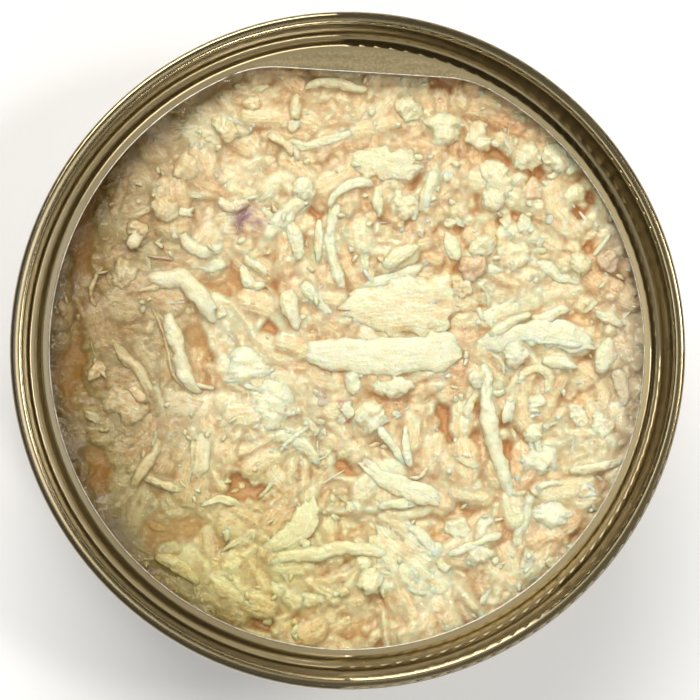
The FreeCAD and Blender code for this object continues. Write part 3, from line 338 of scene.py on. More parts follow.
def shaped(ball, run, form, middle, thick, seed):
    """Turns the points of a ball into a piece of meat along a run: mm, and the place in the grain."""
    f = FORMS[form]
    x, y, z = ball.T
    share = np.arccos(np.clip(z, -1, 1)) / math.pi
    turn = np.arctan2(y, x)
    ends = np.abs(2 * share - 1)
    full = np.where(ends > 0.999, 0, np.clip(1 - ends ** f["blunt"], 0, 1) ** 0.5)
    side, up = np.cos(turn), np.sin(turn)
    side = np.sign(side) * np.abs(side) ** f["square"]
    up = np.sign(up) * np.abs(up) ** f["flat"]
    px, py, width, hx, hy = run.at(share)
    tall = np.minimum(thick, width * 0.85 + 0.3) / 2
    along = share * run.length
    uneven_edge = f["edge"] * cloud(along / 0.8, side * 1.2, seed=seed + 1)
    half = width / 2 * (1 + 0.16 * cloud(along / 1.9, side * 0 + seed, seed=seed) + uneven_edge)
    across = side * half * full
    height = up * tall * full ** 0.7
    # the torn ends: each end has its own rags
    fray = f["fray"] * cloud(across / 0.55, across * 0, (share > 0.5) * 9.0, seed + 2) * ends ** 5 * full ** 0.3
    fray = fray * np.minimum(1, width / 2.2)
    wander = 0.20 * cloud(along / 2.3, along * 0, seed=seed + 3)
    here = (px - hy * across, py + hx * across, height)
    bump = f["lumps"] * cloud(*(c / f["lump_size"] for c in here), seed + 4)
    bump = bump + 0.55 * f["lumps"] * (1 - 2 * np.abs(cloud(*(c / CURD_SIZE for c in here), seed + 6)))
    ridge = f["fibres"] * (fibres(across, along, f["pitch"], seed + 7) - 0.55)
    grow = (bump + ridge) * full
    off = across + wander + side * grow * 0.8
    out = (px - hy * off + hx * fray, py + hx * off + hy * fray, middle + height + up * grow - END_DIP * ends ** 3)
    return np.stack(out, 1), np.stack([along, across, height], 1)


# ---------------- meshes
def add_to_scene(name, data):
    obj = bpy.data.objects.new(name, data)
    bpy.context.scene.collection.objects.link(obj)
    return obj


def shown(name, mesh):
    """Puts a finished mesh into the scene as a piece of the can."""
    mesh.shade_smooth()
    mesh.update()
    obj = add_to_scene(name, mesh)
    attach(obj, "root")
    return obj


def mesh_of(name, bm):
    """The mesh of a finished bmesh, which is freed."""
    mesh = bpy.data.meshes.new(name)
    bm.to_mesh(mesh)
    bm.free()
    return mesh


def points_of(mesh):
    """The points of a mesh, one row each."""
    points = np.zeros(len(mesh.vertices) * 3)
    mesh.vertices.foreach_get("co", points)
    return points.reshape(-1, 3)


def place_points(mesh, x, y, z):
    """Moves the points of a mesh to places in mm from the opening's middle."""
    mesh.vertices.foreach_set("co", (np.column_stack([x + MIDDLE[0], y + MIDDLE[1], z]) * MM).ravel())


@functools.cache
def ball(around, rings):
    """The ball that a piece of meat is worked from; it is made once for each fineness."""
    bm = bmesh.new()
    bmesh.ops.create_uvsphere(bm, u_segments=around, v_segments=rings, radius=1)
    return mesh_of("ball", bm)


def meat_object(name, jobs, around, rings):
    """One mesh of one or more pieces. A job is (run, form, middle height, thickness, paleness, blush, grey, seed)."""
    one = ball(around, rings)
    bm = bmesh.new()
    for _ in jobs:
        bm.from_mesh(one)
    mesh = mesh_of(name, bm)
    points = points_of(mesh)
    grain = np.zeros_like(points)
    facts = np.zeros((len(points), 3))
    start = 0
    for run, form, middle, thick, pale, blush, grey, seed in jobs:
        here = slice(start, start + len(one.vertices))
        points[here], grain[here] = shaped(points[here], run, form, middle, thick, seed)
        grain[here, 0] += seed * 3.7
        facts[here] = (0.73 + 0.80 * (pale - 0.66), blush, grey)
        start += len(one.vertices)
    return meat_piece(name, mesh, points, grain, facts)


def meat_piece(name, mesh, points, grain, facts):
    """Keeps the meat inside the can, and notes what its colour needs."""
    reach = np.hypot(points[:, 0], points[:, 1])
    points[:, 2] = np.minimum(points[:, 2], np.where(reach > OPENING - 1.2, FOOD_CEILING, RIM_TOP - 2.2))
    points[:, :2] *= (np.minimum(reach, MEAT_RADIUS) / np.maximum(reach, 1e-6))[:, None]
    place_points(mesh, *points.T)
    obj = shown(name, mesh)
    MEAT.append((obj, points, grain, facts))
    return obj


def round_body(name, parts, reach):
    """A closed round body worked from a square grid: its mesh, the points' x and y in mm, and which are under."""
    bm = bmesh.new()
    bmesh.ops.create_grid(bm, x_segments=parts, y_segments=parts, size=1)
    skirt = bmesh.ops.extrude_edge_only(bm, edges=[e for e in bm.edges if e.is_boundary])["geom"]
    for v in skirt:
        if isinstance(v, bmesh.types.BMVert):
            v.co.z = -1
    bmesh.ops.edgeloop_fill(bm, edges=[g for g in skirt if isinstance(g, bmesh.types.BMEdge)])
    bmesh.ops.recalc_face_normals(bm, faces=bm.faces)
    mesh = mesh_of(name, bm)
    a, b, c = points_of(mesh).T
    return mesh, a * np.sqrt(1 - b * b / 2) * reach, b * np.sqrt(1 - a * a / 2) * reach, c < -0.5


# ---------------- charts of the heap
def cell_of(x):
    return (x + HALF) / CELL


def read(chart, x, y):
    """Reads a chart of the heap between its points."""
    u, v = np.clip(cell_of(x), 0, SIDE - 1.001), np.clip(cell_of(y), 0, SIDE - 1.001)
    i, j = u.astype(int), v.astype(int)
    a, b = u - i, v - j
    return (chart[i, j] * (1 - a) * (1 - b) + chart[i + 1, j] * a * (1 - b)
            + chart[i, j + 1] * (1 - a) * b + chart[i + 1, j + 1] * a * b)


def read_one(chart, x, y):
    return float(read(chart, np.array([x]), np.array([y]))[0])


def softened(chart, radius):
    """The chart's mean within a radius in mm, by three passes each way."""
    n = max(1, int(round(radius / CELL / 1.7)))
    for _ in range(3):
        for axis in (0, 1):
            padded = np.pad(chart, [(n + 1, n) if a == axis else (0, 0) for a in (0, 1)], mode="edge")
            total = np.cumsum(padded, axis=axis)
            last = total.shape[axis]
            ahead, behind = np.take(total, range(2 * n + 1, last), axis), np.take(total, range(last - 2 * n - 1), axis)
            chart = (ahead - behind) / (2 * n + 1)
    return chart


def pool_share():
    """Where the broth lies open between the heaps, from 0 to 1."""
    depth = np.zeros_like(GRID_X)
    for x, y, a, b in POOLS:
        far = np.hypot((GRID_X - x * OPENING) / (a + 0.6), (GRID_Y - y * OPENING) / (b + 0.6))
        depth = np.maximum(depth, 1 - step(0.55, 1.25, far + 0.25 * cloud(GRID_X / 1.7, GRID_Y / 1.7, seed=31)))
    return depth


def lies():
    """Which way the drawn pieces run, sampled along them."""
    found = []
    for form, _, _, _, points in list(PIECES.values()) + list(EXTRAS.values()):
        if form != "lump":
            x, y, _, hx, hy = Run(points).at(np.linspace(0, 1, 9))
            found.append(np.stack([x, y, np.arctan2(hy, hx)], 1))
    return np.vstack(found)


def heap():
    """The heap's charts: height, paleness, the grain along and across, the pools and the cracks."""
    rng = np.random.default_rng(HEAP_SEED)
    pools, laid = pool_share(), lies()
    height = BROTH_LEVEL - 0.45 - 0.7 * pools + 0.20 * cloud(GRID_X / 1.3, GRID_Y / 1.3, seed=3)
    pale = np.full_like(height, 0.3)
    along, across = GRID_X.copy(), GRID_Y.copy()
    for n in range(HEAP_SHREDS):
        x, y = draw_place(rng, FOOD_RADIUS)
        pool = read_one(pools, x, y)
        kind = rng.random()
        # the left side is sunken and smooth, the right side full of curds
        left = float(step(-8, -22, np.array(x)))
        curd = (0.18 + 0.34 * float(step(-6, 14, np.array(x + 0.5 * y)))) * (1 - 0.7 * left)
        if kind < curd:
            long, wide = rng.uniform(1.4, 3.2), rng.uniform(1.2, 2.6)
        elif kind < curd + 0.25 + 0.35 * left:
            long, wide = rng.uniform(4.0, 9.0), rng.uniform(2.2, 4.0) + 1.8 * left
        else:
            long, wide = rng.uniform(3.5, 9.0), rng.uniform(0.7, 1.7)
        gone = np.hypot(laid[:, 0] - x, laid[:, 1] - y)
        near = int(np.argmin(gone))
        lie = (laid[near, 2] if gone[near] < 5 else common_lie(x, y)) + rng.normal(0, 0.45)
        level = BROTH_LEVEL - 0.05 + rng.normal(0, 0.20) + 0.35 * n / HEAP_SHREDS - 0.9 * pool - 0.50 * left
        tall = min(wide * 0.45, 0.95 - 0.2 * left) * rng.uniform(0.6, 1.1)
        swell = cloud(np.array([x / 4.2]), np.array([y / 4.2]), 0.5, 63)[0]
        tone = np.clip(rng.normal(0.57, 0.08) + 0.24 * swell, 0.2, 1)
        reach = long / 2 + wide
        part = tuple(slice(max(0, int(cell_of(c - reach))), min(SIDE, int(cell_of(c + reach)) + 1)) for c in (x, y))
        gx, gy = GRID_X[part] - x, GRID_Y[part] - y
        u = gx * math.cos(lie) + gy * math.sin(lie)
        v = -gx * math.sin(lie) + gy * math.cos(lie)
        v = v + rng.uniform(-0.07, 0.07) * u * u + 0.16 * cloud(gx / 0.9 + n, gy / 0.9, seed=n)
        away = np.hypot(np.maximum(np.abs(u) - (long - wide) / 2, 0), v) / (wide / 2)
        grooves = (0.14 if wide > 1.8 else 0.08) * (fibres(v, u, 0.55, n) - 0.5)
        rise = level + tall * np.clip(1 - away ** 2, 0, 1) ** 0.4 + grooves
        rise = rise + (0.26 if kind < curd else 0.08) * cloud(gx / 0.75, gy / 0.75, n, 8)
        spot = (away < 1) & (rise > height[part])
        for chart, value in ((height, rise), (pale, rise * 0 + tone), (along, u + n * 1.7), (across, v + n * 0.9)):
            chart[part][spot] = value[spot]
    # the crack chart: how far a point lies below its softened neighbours, used later for painted shade and painted
    # highlight
    crack = np.clip((softened(height, 0.5) - height) / 0.26, -1, 1)
    height = 0.45 * height + 0.55 * softened(height, 0.4)
    height = height + 0.09 * (1 - 2 * np.abs(cloud(GRID_X / 0.65, GRID_Y / 0.65, seed=19)))
    return height, softened(pale, 0.3), along, across, pools, crack


def put_over(points):
    """Marks where a piece's points stand above the chart of what shows."""
    i, j = (np.clip(np.round(cell_of(points[:, n])).astype(int), 0, SIDE - 1) for n in (0, 1))
    np.maximum.at(SHOWN, (i, j), points[:, 2])


# ---------------- the food
MEAT = []  # every food mesh: object, points in mm, grain, then paleness, blush and grey
HEAP, HEAP_PALE, HEAP_ALONG, HEAP_ACROSS, HEAP_POOLS, HEAP_CRACK = heap()
SHOWN = HEAP.copy()

for place, (node, (form, pale, lift, thick, points)) in enumerate(PIECES.items()):
    low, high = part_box(node)
    run = Run(points)
    drawn = (run.line[:, :2].min(0) + run.line[:, :2].max(0)) / 2
    run.line[:, :2] += np.clip(np.array(((low + high) / 2).xy) / MM - MIDDLE - drawn, -0.8, 0.8)
    middle = (low.z + high.z) / 2 / MM + 0.36 * (lift - 0.6)
    job = (run, form, middle, max(thick, (high.z - low.z) / MM), pale, *BLUSH.get(node, (0, 0)), PIECE_SEED + place)
    piece = meat_object("meat_" + node, [job], 32, int(np.clip(run.length / 0.24, 30, 84)))
    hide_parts(node)
    put_over(MEAT[-1][1])

kinds = {}
for place, (name, (form, pale, lift, thick, points)) in enumerate(EXTRAS.items()):
    run = Run(points)
    ground = read_one(SHOWN, *(float(c) for c in run.at(0.5)[:2]))
    middle = max(BROTH_LEVEL - 0.45 + 0.75 * lift, min(ground + 0.15, BROTH_LEVEL + 1.5))
    middle = middle - (0.25 if form == "lump" else -0.1)
    kinds.setdefault(form, []).append((run, form, middle, thick, pale, *BLUSH.get(name, (0, 0)), EXTRA_SEED + place))
for form, jobs in kinds.items():
    meat_object("more_" + form + "s", jobs, 28, 44)
    put_over(MEAT[-1][1])


def make_heap():
    """The closed body of meat under the loose pieces."""
    mesh, x, y, under = round_body("chicken_heap", 300, MEAT_RADIUS)
    z = np.where(under, BROTH_LEVEL - HEAP_DEPTH, read(HEAP, x, y))
    grain = np.stack([read(HEAP_ALONG, x, y), read(HEAP_ACROSS, x, y), z * 0], 1)
    pale = read(HEAP_PALE, x, y)
    return meat_piece("chicken_heap", mesh, np.stack([x, y, z], 1), grain, np.stack([pale, pale * 0, pale * 0], 1))


# the heap banks up against the pieces that lie in it
HEAP = np.maximum(HEAP, softened(SHOWN, 0.7) - 0.22)
core = make_heap()
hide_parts("chicken_bed")
SHOWN = np.maximum(SHOWN, HEAP)


def scattered(name, form, count, long, wide, thick, around, rings, seed, sink, pale=(0.55, 0.95)):
    """Many small pieces of one kind over the heap."""
    rng = np.random.default_rng(seed)
    jobs = []
    while len(jobs) < count:
        x, y = draw_place(rng, OPENING + 0.5)
        if rng.random() < 0.75 * read_one(HEAP_POOLS, x, y):
            continue
        ground = read_one(SHOWN, x, y)
        if ground > BROTH_LEVEL + 1.35 and rng.random() < 0.9:
            continue  # the large pieces stay clear
        length, width = rng.uniform(*long), rng.uniform(*wide)
        lie = common_lie(x, y) + rng.normal(0, 0.8)
        bend = rng.normal(0, 0.35) / max(length, 1)
        line = []
        for s in np.linspace(-0.5, 0.5, 4):
            turn = lie + bend * length * s
            line.append((x + length * s * math.cos(turn), y + length * s * math.sin(turn),
                         width * (1.0 - 0.5 * abs(2 * s) ** 2 * rng.random())))
        jobs.append((Run(line), form, ground - sink + width * 0.25, min(thick, width), rng.uniform(*pale),
                     0.12 * (rng.random() > 0.93), 0, seed + len(jobs)))
    meat_object(name, jobs, around, rings)
    put_over(MEAT[-1][1])


scattered("loose_shreds", "strip", 70, (2.4, 6.4), (0.35, 0.85), 0.6, 10, 16, 1001, 0.38, (0.5, 0.8))
scattered("loose_flakes", "flake", 30, (1.6, 3.4), (0.9, 1.6), 0.7, 14, 14, 2003, 0.42, (0.5, 0.8))
scattered("loose_crumbs", "lump", 300, (0.5, 1.2), (0.4, 0.9), 0.5, 8, 7, 3001, 0.26, (0.55, 0.9))
scattered("loose_fibres", "fibre", 36, (2.0, 5.0), (0.12, 0.22), 0.25, 6, 12, 4001, 0.02)


def write_values(mesh, name, kind, key, values):
    """Stores values at the points of a mesh for its material to read."""
    made = mesh.attributes.new(name, kind, "POINT")
    made.data.foreach_set(key, values.astype(np.float32).ravel())


def colour_meat():
    """Writes what the materials read: paleness with painted highlight on raised points, painted shade by how deep in a
    gap a point lies, blush and grey.
    """
    near, wide = softened(SHOWN, 0.6), softened(SHOWN, 2.6)
    for obj, points, grain, facts in MEAT:
        x, y, z = points.T
        near_gap = (read(near, x, y) - z) / 0.60
        # painted shade: the deeper a point lies below the softened heights around it, the darker it is drawn
        gap = 0.36 * np.clip(near_gap, 0, 1) + 0.50 * np.clip((read(wide, x, y) - z) / 1.2, 0, 1)
        # painted highlight: points that stand above their neighbours are drawn paler
        pale = facts[:, 0] + 0.08 * cloud(x / 1.1, y / 1.1, z / 1.1, 77) + 0.12 * np.clip(-near_gap, 0, 0.8)
        if obj.name == "chicken_heap":
            # painted shade in the heap's crevices and painted highlight on its ridges, from the crack chart
            crack = read(HEAP_CRACK, x, y)
            gap = gap + 0.26 * np.clip(crack, 0, 1)
            pale = pale + 0.16 * np.clip(-crack, 0, 1)
        gap = gap + 0.12 * step(BROTH_LEVEL + 0.05, BROTH_LEVEL - 1.1, z)
        values = np.column_stack([np.clip(pale, 0, 1), np.clip(gap, 0, 1), facts[:, 1:]])
        write_values(obj.data, "meat", "FLOAT_COLOR", "color", values)
        write_values(obj.data, "grain", "FLOAT_VECTOR", "vector", grain)


colour_meat()


# ---------------- broth and the torn edge
def make_broth():
    """The clear broth; it carries how deep it stands over the meat."""
    mesh, x, y, under = round_body("broth_surface", 200, BROTH_RADIUS)
    deep = np.where(under, 1, np.clip((BROTH_LEVEL - read(SHOWN, x, y)) / HIDING_DEPTH, 0, 1))
    place_points(mesh, x, y, np.where(under, BROTH_LEVEL - BROTH_DEPTH, BROTH_LEVEL))
    write_values(mesh, "deep", "FLOAT", "value", deep)
    obj = shown("broth_surface", mesh)
    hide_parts("broth")
    return obj


def make_torn_edge():
    """The bare burr that the torn-out lid left along the opening: a round with one straight side."""
    flat, blend, middle_turn = OPENING - 2.5, 14.0, math.radians(87)
    spread = math.acos((flat - blend) / (OPENING - blend))
    turns = [middle_turn + spread + (2 * math.pi - 2 * spread) * n / 200 for n in range(200)]
    line = [(OPENING * math.cos(t), OPENING * math.sin(t)) for t in turns]
    for side in (-1, 1):
        centre = middle_turn + side * spread
        cx, cy = ((OPENING - blend) * way(centre) for way in (math.cos, math.sin))
        arc = [(cx + blend * math.cos(t), cy + blend * math.sin(t)) for t in np.linspace(centre, middle_turn, 16)]
        line += arc[::-side]
    curve = bpy.data.curves.new("torn_edge_line", "CURVE")
    curve.dimensions = "3D"
    spline = curve.splines.new("POLY")
    spline.points.add(len(line) - 1)
    for n, (p, (x, y)) in enumerate(zip(spline.points, line)):
        lift = 0.02 * math.sin(n * 1.7) + 0.02 * math.sin(n * 0.61)
        p.co = ((x + MIDDLE[0]) * MM, (y + MIDDLE[1]) * MM, (PANEL_TOP - 0.02 + lift) * MM, 1)
    spline.use_cyclic_u = True
    curve.bevel_depth = 0.075 * MM
    curve.bevel_resolution = 2
    holder = add_to_scene("torn_edge_line", curve)
    mesh = bpy.data.meshes.new_from_object(holder)
    mesh.name = "torn_edge"
    bpy.data.objects.remove(holder)
    obj = shown("torn_edge", mesh)
    return obj


broth = make_broth()
torn_edge = make_torn_edge()


# ---------------- materials
def srgb(r, g, b):
    return tuple((c / 255 / 12.92) if c <= 10 else ((c / 255 + 0.055) / 1.055) ** 2.4 for c in (r, g, b)) + (1.0,)


class Finish:
    """A material being put together."""

    def __init__(self, name):
        self.material = bpy.data.materials.new(name)
        self.material.use_nodes = True
        self.tree = self.material.node_tree
        self.tree.nodes.clear()

    def add(self, kind, values=None, **settings):
        """Adds a node. Values are for its inputs: plain ones are set, outputs of other nodes are joined."""
        node = self.tree.nodes.new(kind)
        for key, value in settings.items():
            setattr(node, key, value)
        for key, value in (values or {}).items():
            if isinstance(value, bpy.types.NodeSocket):
                self.tree.links.new(value, node.inputs[key])
            elif value is not None:
                node.inputs[key].default_value = value
        return node

    def done(self, surface):
        self.add("ShaderNodeOutputMaterial", {"Surface": surface.outputs[0]})
        return self.material

    def number(self, how, a, b=None, clamp=False):
        return self.add("ShaderNodeMath", {0: a, 1: b}, operation=how, use_clamp=clamp).outputs[0]

    def plus(self, a, b, clamp=False):
        return self.number("ADD", a, b, clamp)

    def minus(self, a, b, clamp=False):
        return self.number("SUBTRACT", a, b, clamp)

    def times(self, a, b):
        return self.number("MULTIPLY", a, b)

    def swung(self, value, by, amount):
        """A value moved up and down by another that runs from 0 to 1."""
        return self.plus(value, self.times(self.minus(by, 0.5), amount))

    def between(self, value, low, high, to_low=0.0, to_high=1.0):
        values = {"Value": value, "From Min": low, "From Max": high, "To Min": to_low, "To Max": to_high}
        return self.add("ShaderNodeMapRange", values, interpolation_type="SMOOTHSTEP").outputs["Result"]

    def split(self, vector):
        return self.add("ShaderNodeSeparateXYZ", {"Vector": vector}).outputs

    def where(self):
        """The place on the object: as a vector, then along X, Y and Z."""
        place = self.add("ShaderNodeTexCoord").outputs["Object"]
        return (place, *self.split(place))

    def from_axis(self, x, y):
        return self.number("SQRT", self.plus(self.number("POWER", x, 2.0), self.number("POWER", y, 2.0)))

    def uneven(self, place, scale, detail=3.0, rough=0.55):
        values = {"Vector": place, "Scale": scale, "Detail": detail, "Roughness": rough}
        return self.add("ShaderNodeTexNoise", values).outputs["Fac"]

    def stretched(self, place, scale):
        return self.add("ShaderNodeMapping", {"Vector": place, "Scale": scale}, vector_type="POINT").outputs["Vector"]

    def tinted(self, share, first, second, how="MIX"):
        values = {"Factor": share, 6: first, 7: second}
        return self.add("ShaderNodeMix", values, data_type="RGBA", blend_type=how, clamp_factor=True).outputs[2]

    def washed(self, share, colour, wash):
        """A colour with a share of a wash over it, as of broth or of shade."""
        return self.tinted(share, colour, self.tinted(1.0, colour, wash, "MULTIPLY"))

    def ramp(self, value, *stops):
        node = self.add("ShaderNodeValToRGB", {"Fac": value})
        while len(node.color_ramp.elements) < len(stops):
            node.color_ramp.elements.new(0.5)
        for element, (place, *colour) in zip(node.color_ramp.elements, stops):
            element.position, element.color = place, srgb(*colour)
        return node.outputs["Color"]

    def bump(self, height, strength, distance, normal=None, invert=False):
        values = {"Height": height, "Strength": strength, "Distance": distance, "Normal": normal}
        return self.add("ShaderNodeBump", values, invert=invert).outputs["Normal"]


def chicken_finish():
    """Cooked wet meat with streaks along its grain, made pale on top by painted highlight and brown in the gaps by
    painted shade.
    """
    f = Finish("wet_chicken")
    meat = f.add("ShaderNodeAttribute", attribute_name="meat")
    grain = f.add("ShaderNodeAttribute", attribute_name="grain").outputs["Vector"]
    place, x, y, z = f.where()
    pale, gap, blush = f.add("ShaderNodeSeparateColor", {"Color": meat.outputs["Color"]}).outputs
    grey = meat.outputs["Alpha"]
    broad = f.uneven(place, 260.0, 3.0)
    fine = f.between(f.uneven(place, 1300.0, 6.0, 0.62), 0.34, 0.66)
    curds = f.between(f.uneven(place, 620.0, 4.0, 0.6), 0.32, 0.68)
    streaks = f.uneven(f.stretched(grain, (0.30, 2.4, 1.2)), 1.0, 4.0, 0.6)
    value = pale
    for by, amount in ((broad, 0.40), (f.between(streaks, 0.32, 0.68), 0.34), (fine, 0.13), (curds, 0.20)):
        value = f.swung(value, by, amount)
    # painted shade: the flanks of the pieces, which face away from straight up, are drawn darker and browner
    facing = f.split(f.add("ShaderNodeNewGeometry").outputs["Normal"])["Z"]
    value = f.minus(value, f.times(f.between(facing, 0.96, 0.30), 0.16))
    # painted shade: the deeper a point lies in a gap, the darker and browner it is drawn
    value = f.minus(value, f.times(gap, 0.62), clamp=True)
    colour = f.ramp(value, (0.0, 214, 158, 102), (0.16, 230, 184, 128), (0.36, 242, 209, 157),
                    (0.56, 248, 227, 176), (0.76, 254, 242, 199), (1.0, 255, 251, 214))
    # painted glints: pale specks in the colour, kept out of the gaps
    painted_glints = f.times(f.between(f.uneven(place, 1700.0, 3.0, 0.6), 0.54, 0.66), f.minus(1.0, gap))
    colour = f.tinted(f.times(painted_glints, 0.38), colour, srgb(255, 253, 234))
    # the left side is browner, partly from brown broth over it and partly from painted shade of the rim; the lower
    # left is greener, the far right greyer
    raised = f.between(z, (BROTH_LEVEL + 0.3) * MM, (BROTH_LEVEL + 1.5) * MM, 1.0, 0.45)
    colour = f.washed(f.times(f.between(x, -0.012, -0.035), raised), colour, srgb(165, 152, 111))
    # painted shadow of the rim: a darker brown band just inside the opening's edge on the left
    rim = f.times(f.between(f.from_axis(x, y), 0.0335, 0.0385), f.between(x, -0.004, -0.020))
    colour = f.washed(f.times(rim, 0.85), colour, srgb(170, 155, 106))
    colour = f.washed(f.times(f.between(y, 0.012, 0.038), 0.22), colour, srgb(238, 216, 180))
    green = f.times(f.between(y, -0.006, -0.030), f.between(x, 0.016, -0.014))
    colour = f.washed(f.times(green, 0.75), colour, srgb(219, 221, 168))
    colour = f.tinted(f.times(f.between(x, 0.031, 0.038), 0.45), colour, srgb(206, 186, 158))
    patches = f.between(f.uneven(place, 620.0, 2.0), 0.44, 0.60)
    colour = f.tinted(f.times(blush, patches), colour, srgb(222, 140, 124))
    colour = f.tinted(f.times(grey, 0.8), colour, srgb(196, 178, 160))
    # a dark purple spot of blood
    spot = f.add("ShaderNodeVectorMath", {0: place, 1: (-0.0128, 0.0168, 0.0337)}, operation="DISTANCE")
    bruise = f.times(f.between(spot.outputs["Value"], 0.0030, 0.0010), f.between(broad, 0.36, 0.56))
    colour = f.tinted(f.times(bruise, 0.85), colour, srgb(150, 96, 108))
    relief = f.plus(f.times(streaks, 1.5), f.times(fine, 0.6))
    relief = f.plus(relief, f.times(curds, 1.0))
    return f.done(f.add("ShaderNodeBsdfPrincipled", {
        "Base Color": colour, "Roughness": f.between(fine, 0.3, 0.7, 0.30, 0.46), "IOR": 1.40,
        "Subsurface Weight": 0.75, "Subsurface Radius": (1.0, 0.64, 0.38), "Subsurface Scale": 0.0010,
        "Coat Weight": 0.85, "Coat Roughness": 0.07, "Coat IOR": 1.5,
        "Normal": f.bump(relief, 0.8, 0.00024),
        "Coat Normal": f.bump(f.uneven(place, 1900.0, 3.0), 0.8, 0.00022)}))


def broth_finish():
    """Clear broth: nearly nothing where it is thin, a cloudy brown film where it is deep."""
    f = Finish("clear_broth")
    place, x, _, _ = f.where()
    deep = f.add("ShaderNodeAttribute", attribute_name="deep").outputs["Fac"]
    cloudy = f.uneven(place, 260.0, 4.0)
    # painted shade: towards the left the film is browner and denser, partly from brown broth and partly from the rim's
    # shade
    left = f.between(x, -0.010, -0.032)
    tone = f.ramp(cloudy, (0.3, 218, 180, 130), (0.7, 238, 212, 166))
    through = f.add("ShaderNodeBsdfTransparent", {
        "Color": f.ramp(deep, (0.0, 255, 252, 246), (0.35, 252, 236, 204), (1.0, 248, 218, 168))})
    film = f.add("ShaderNodeBsdfPrincipled", {
        "Base Color": f.washed(left, tone, srgb(184, 162, 112)), "Roughness": 0.07, "IOR": 1.35,
        "Normal": f.bump(f.uneven(place, 330.0, 2.0), 0.6, 0.00025)})
    body = f.times(f.between(deep, 0.0, 0.6, 0.08, 0.74), f.between(cloudy, 0.3, 0.7, 0.75, 1.0))
    body = f.plus(body, f.times(left, 0.14), clamp=True)
    return f.done(f.add("ShaderNodeMixShader", {"Fac": body, 1: through.outputs[0], 2: film.outputs[0]}))


def lacquer_finish(name, rough):
    """Gold lacquer on steel: polished on the rim, finely brushed and duller on what is left of the lid."""
    f = Finish(name)
    place, x, y, _ = f.where()
    out = f.from_axis(x, y)
    flat = f.between(out, OPENING * MM + 0.0004, OPENING * MM)
    rolled = f.uneven(f.stretched(place, (90.0, 1500.0, 90.0)), 1.0, 4.0, 0.65)
    grains = f.uneven(place, 2600.0, 3.0)
    broad = f.uneven(place, 70.0, 2.0)
    tone = f.tinted(f.between(broad, 0.3, 0.7), srgb(*LACQUER), srgb(*(c * 0.975 for c in LACQUER)))
    brushed = f.between(f.plus(f.times(rolled, 0.5), f.times(grains, 0.5)), 0.36, 0.64, 0.76, 1.14)
    brushed = f.add("ShaderNodeCombineColor", {0: brushed, 1: brushed, 2: brushed}).outputs[0]
    inner = f.between(out, 0.0420, 0.0416)
    dull = f.plus(f.times(inner, 0.14), f.times(flat, 0.04))
    brush = f.bump(f.times(f.plus(rolled, f.times(grains, 0.4)), flat), 0.25, 0.00002)
    # the top of the seam is a little fuller than its flat
    full = f.number("POWER", f.times(f.minus(out, SEAM_CROWN * MM), 1000.0), 2.0)
    full = f.times(full, f.between(out, (SEAM_RADIUS - 1.5) * MM, (SEAM_RADIUS - 1.4) * MM))
    return f.done(f.add("ShaderNodeBsdfPrincipled", {
        "Base Color": f.washed(flat, tone, brushed), "Metallic": 1.0,
        "Roughness": f.plus(f.between(broad, 0.3, 0.7, rough - 0.01, rough + 0.01), dull),
        "Coat Weight": 0.5, "Coat Roughness": 0.08,
        "Normal": f.bump(full, 1.0, 0.00011, normal=brush, invert=True)}))


def bare_steel_finish():
    f = Finish("bare_torn_steel")
    torn = f.uneven(f.add("ShaderNodeTexCoord").outputs["Object"], 1800.0, 3.0)
    return f.done(f.add("ShaderNodeBsdfPrincipled", {
        "Base Color": f.ramp(torn, (0.3, 196, 188, 170), (0.7, 244, 240, 226)), "Metallic": 0.75,
        "Roughness": f.between(torn, 0.3, 0.7, 0.30, 0.50)}))


def floor_finish():
    """A matt pale floor that the camera and reflections see a little brighter than it is lit."""
    f = Finish("pale_floor")
    rays = f.add("ShaderNodeLightPath").outputs
    seen = f.number("MAXIMUM", rays["Is Glossy Ray"], rays["Is Transmission Ray"])
    seen = f.number("MAXIMUM", rays["Is Camera Ray"], seen)
    paint = f.add("ShaderNodeBsdfDiffuse", {"Color": FLOOR_PAINT})
    glow = f.add("ShaderNodeEmission", {"Strength": f.times(seen, FLOOR_GLOW)})
    return f.done(f.add("ShaderNodeAddShader", {0: paint.outputs[0], 1: glow.outputs[0]}))


def dress(obj, material):
    obj.data.materials.clear()
    obj.data.materials.append(material)


chicken = chicken_finish()
for obj, *_ in MEAT:
    dress(obj, chicken)
dress(broth, broth_finish())
dress(torn_edge, bare_steel_finish())
dress(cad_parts["end_ring"], lacquer_finish("end_lacquer_gold", 0.15))
dress(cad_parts["can_body"], lacquer_finish("can_lacquer_gold", 0.22))


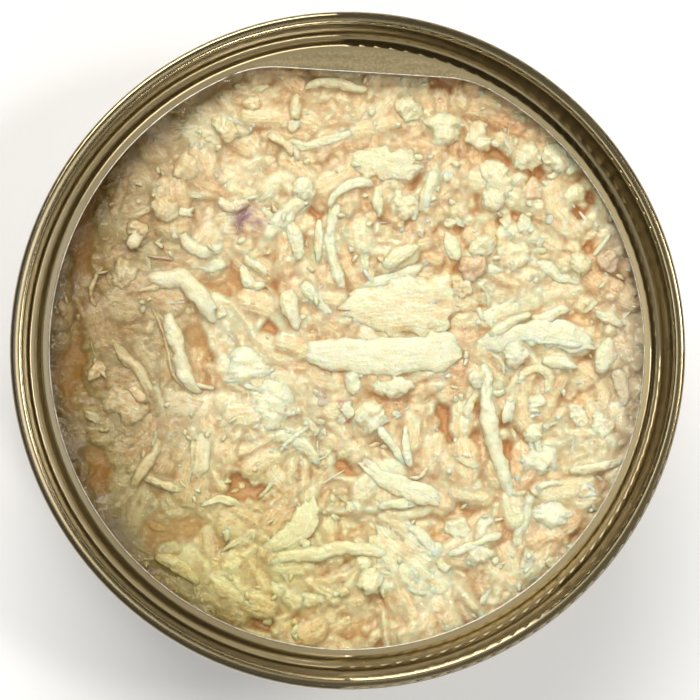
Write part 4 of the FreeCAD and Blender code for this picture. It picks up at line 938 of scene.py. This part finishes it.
# ---------------- floor, lamps and camera
def make_floor():
    bm = bmesh.new()
    bmesh.ops.create_grid(bm, x_segments=1, y_segments=1, size=4.0)
    obj = add_to_scene("floor", mesh_of("floor", bm))
    dress(obj, floor_finish())
    obj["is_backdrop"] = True


def lamp(name, turn, height, far, size, share):
    """A soft square lamp. Share is how bright it alone makes a white surface that faces it."""
    light = bpy.data.lights.new(name, "AREA")
    light.shape = "RECTANGLE"
    light.size = light.size_y = size
    light.energy = math.pi ** 2 * far ** 2 * share
    light.color = LAMP_COLOUR
    obj = add_to_scene(name, light)
    a, e = math.radians(turn), math.radians(height)
    rim = Vector((0, 0, RIM_TOP * MM))
    obj.location = Vector((math.cos(a) * math.cos(e), math.sin(a) * math.cos(e), math.sin(e))) * far + rim
    obj.rotation_euler = (rim - obj.location).to_track_quat("-Z", "Y").to_euler()


def make_world():
    """A plain studio: dim overhead, paler towards the horizon."""
    world = bpy.data.worlds.new("studio")
    bpy.context.scene.world = world
    world.use_nodes = True
    tree = world.node_tree
    back = tree.nodes["Background"]
    back.inputs["Strength"].default_value = 1.0
    split = tree.nodes.new("ShaderNodeSeparateXYZ")
    tree.links.new(tree.nodes.new("ShaderNodeTexCoord").outputs["Generated"], split.inputs["Vector"])
    ramp = tree.nodes.new("ShaderNodeValToRGB")
    tree.links.new(split.outputs["Z"], ramp.inputs["Fac"])
    stops = ((0.0, (0.40, 0.38, 0.345, 1)), (0.75, (0.13, 0.127, 0.122, 1)))
    for element, (place, colour) in zip(ramp.color_ramp.elements, stops):
        element.position, element.color = place, colour
    tree.links.new(ramp.outputs["Color"], back.inputs["Color"])


def make_camera():
    """Looks down on the opening, from a little to the left and in front of it."""
    data = bpy.data.cameras.new("camera")
    obj = add_to_scene("camera", data)
    target = Vector((MIDDLE[0] * MM, MIDDLE[1] * MM, (RIM_TOP - 1.0) * MM))
    lean_x, lean_y = (math.radians(lean) for lean in CAMERA_LEAN)
    back = Vector((-math.sin(lean_x), -math.sin(lean_y), math.cos(lean_x) * math.cos(lean_y))).normalized()
    obj.location = target + back * CAMERA_AWAY
    right = Vector((0, 1, 0)).cross(back).normalized()
    obj.rotation_mode = "QUATERNION"
    obj.rotation_quaternion = Matrix((right, back.cross(right), back)).transposed().to_quaternion()
    data.sensor_width = 36
    data.lens = CAMERA_LENS
    data.clip_start, data.clip_end = 0.01, 20
    bpy.context.scene.camera = obj


make_floor()
make_world()
lamp("key_lamp", 108, 50, 1.0, 0.66, 0.925)
lamp("right_lamp", 8, 65, 1.0, 0.14, 0.22)
lamp("front_lamp", -62, 65, 1.0, 0.14, 0.20)
lamp("top_lamp", 90, 88.6, 1.1, 0.13, 0.018)
make_camera()
bpy.context.scene.view_settings.view_transform = "Standard"

low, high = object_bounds()
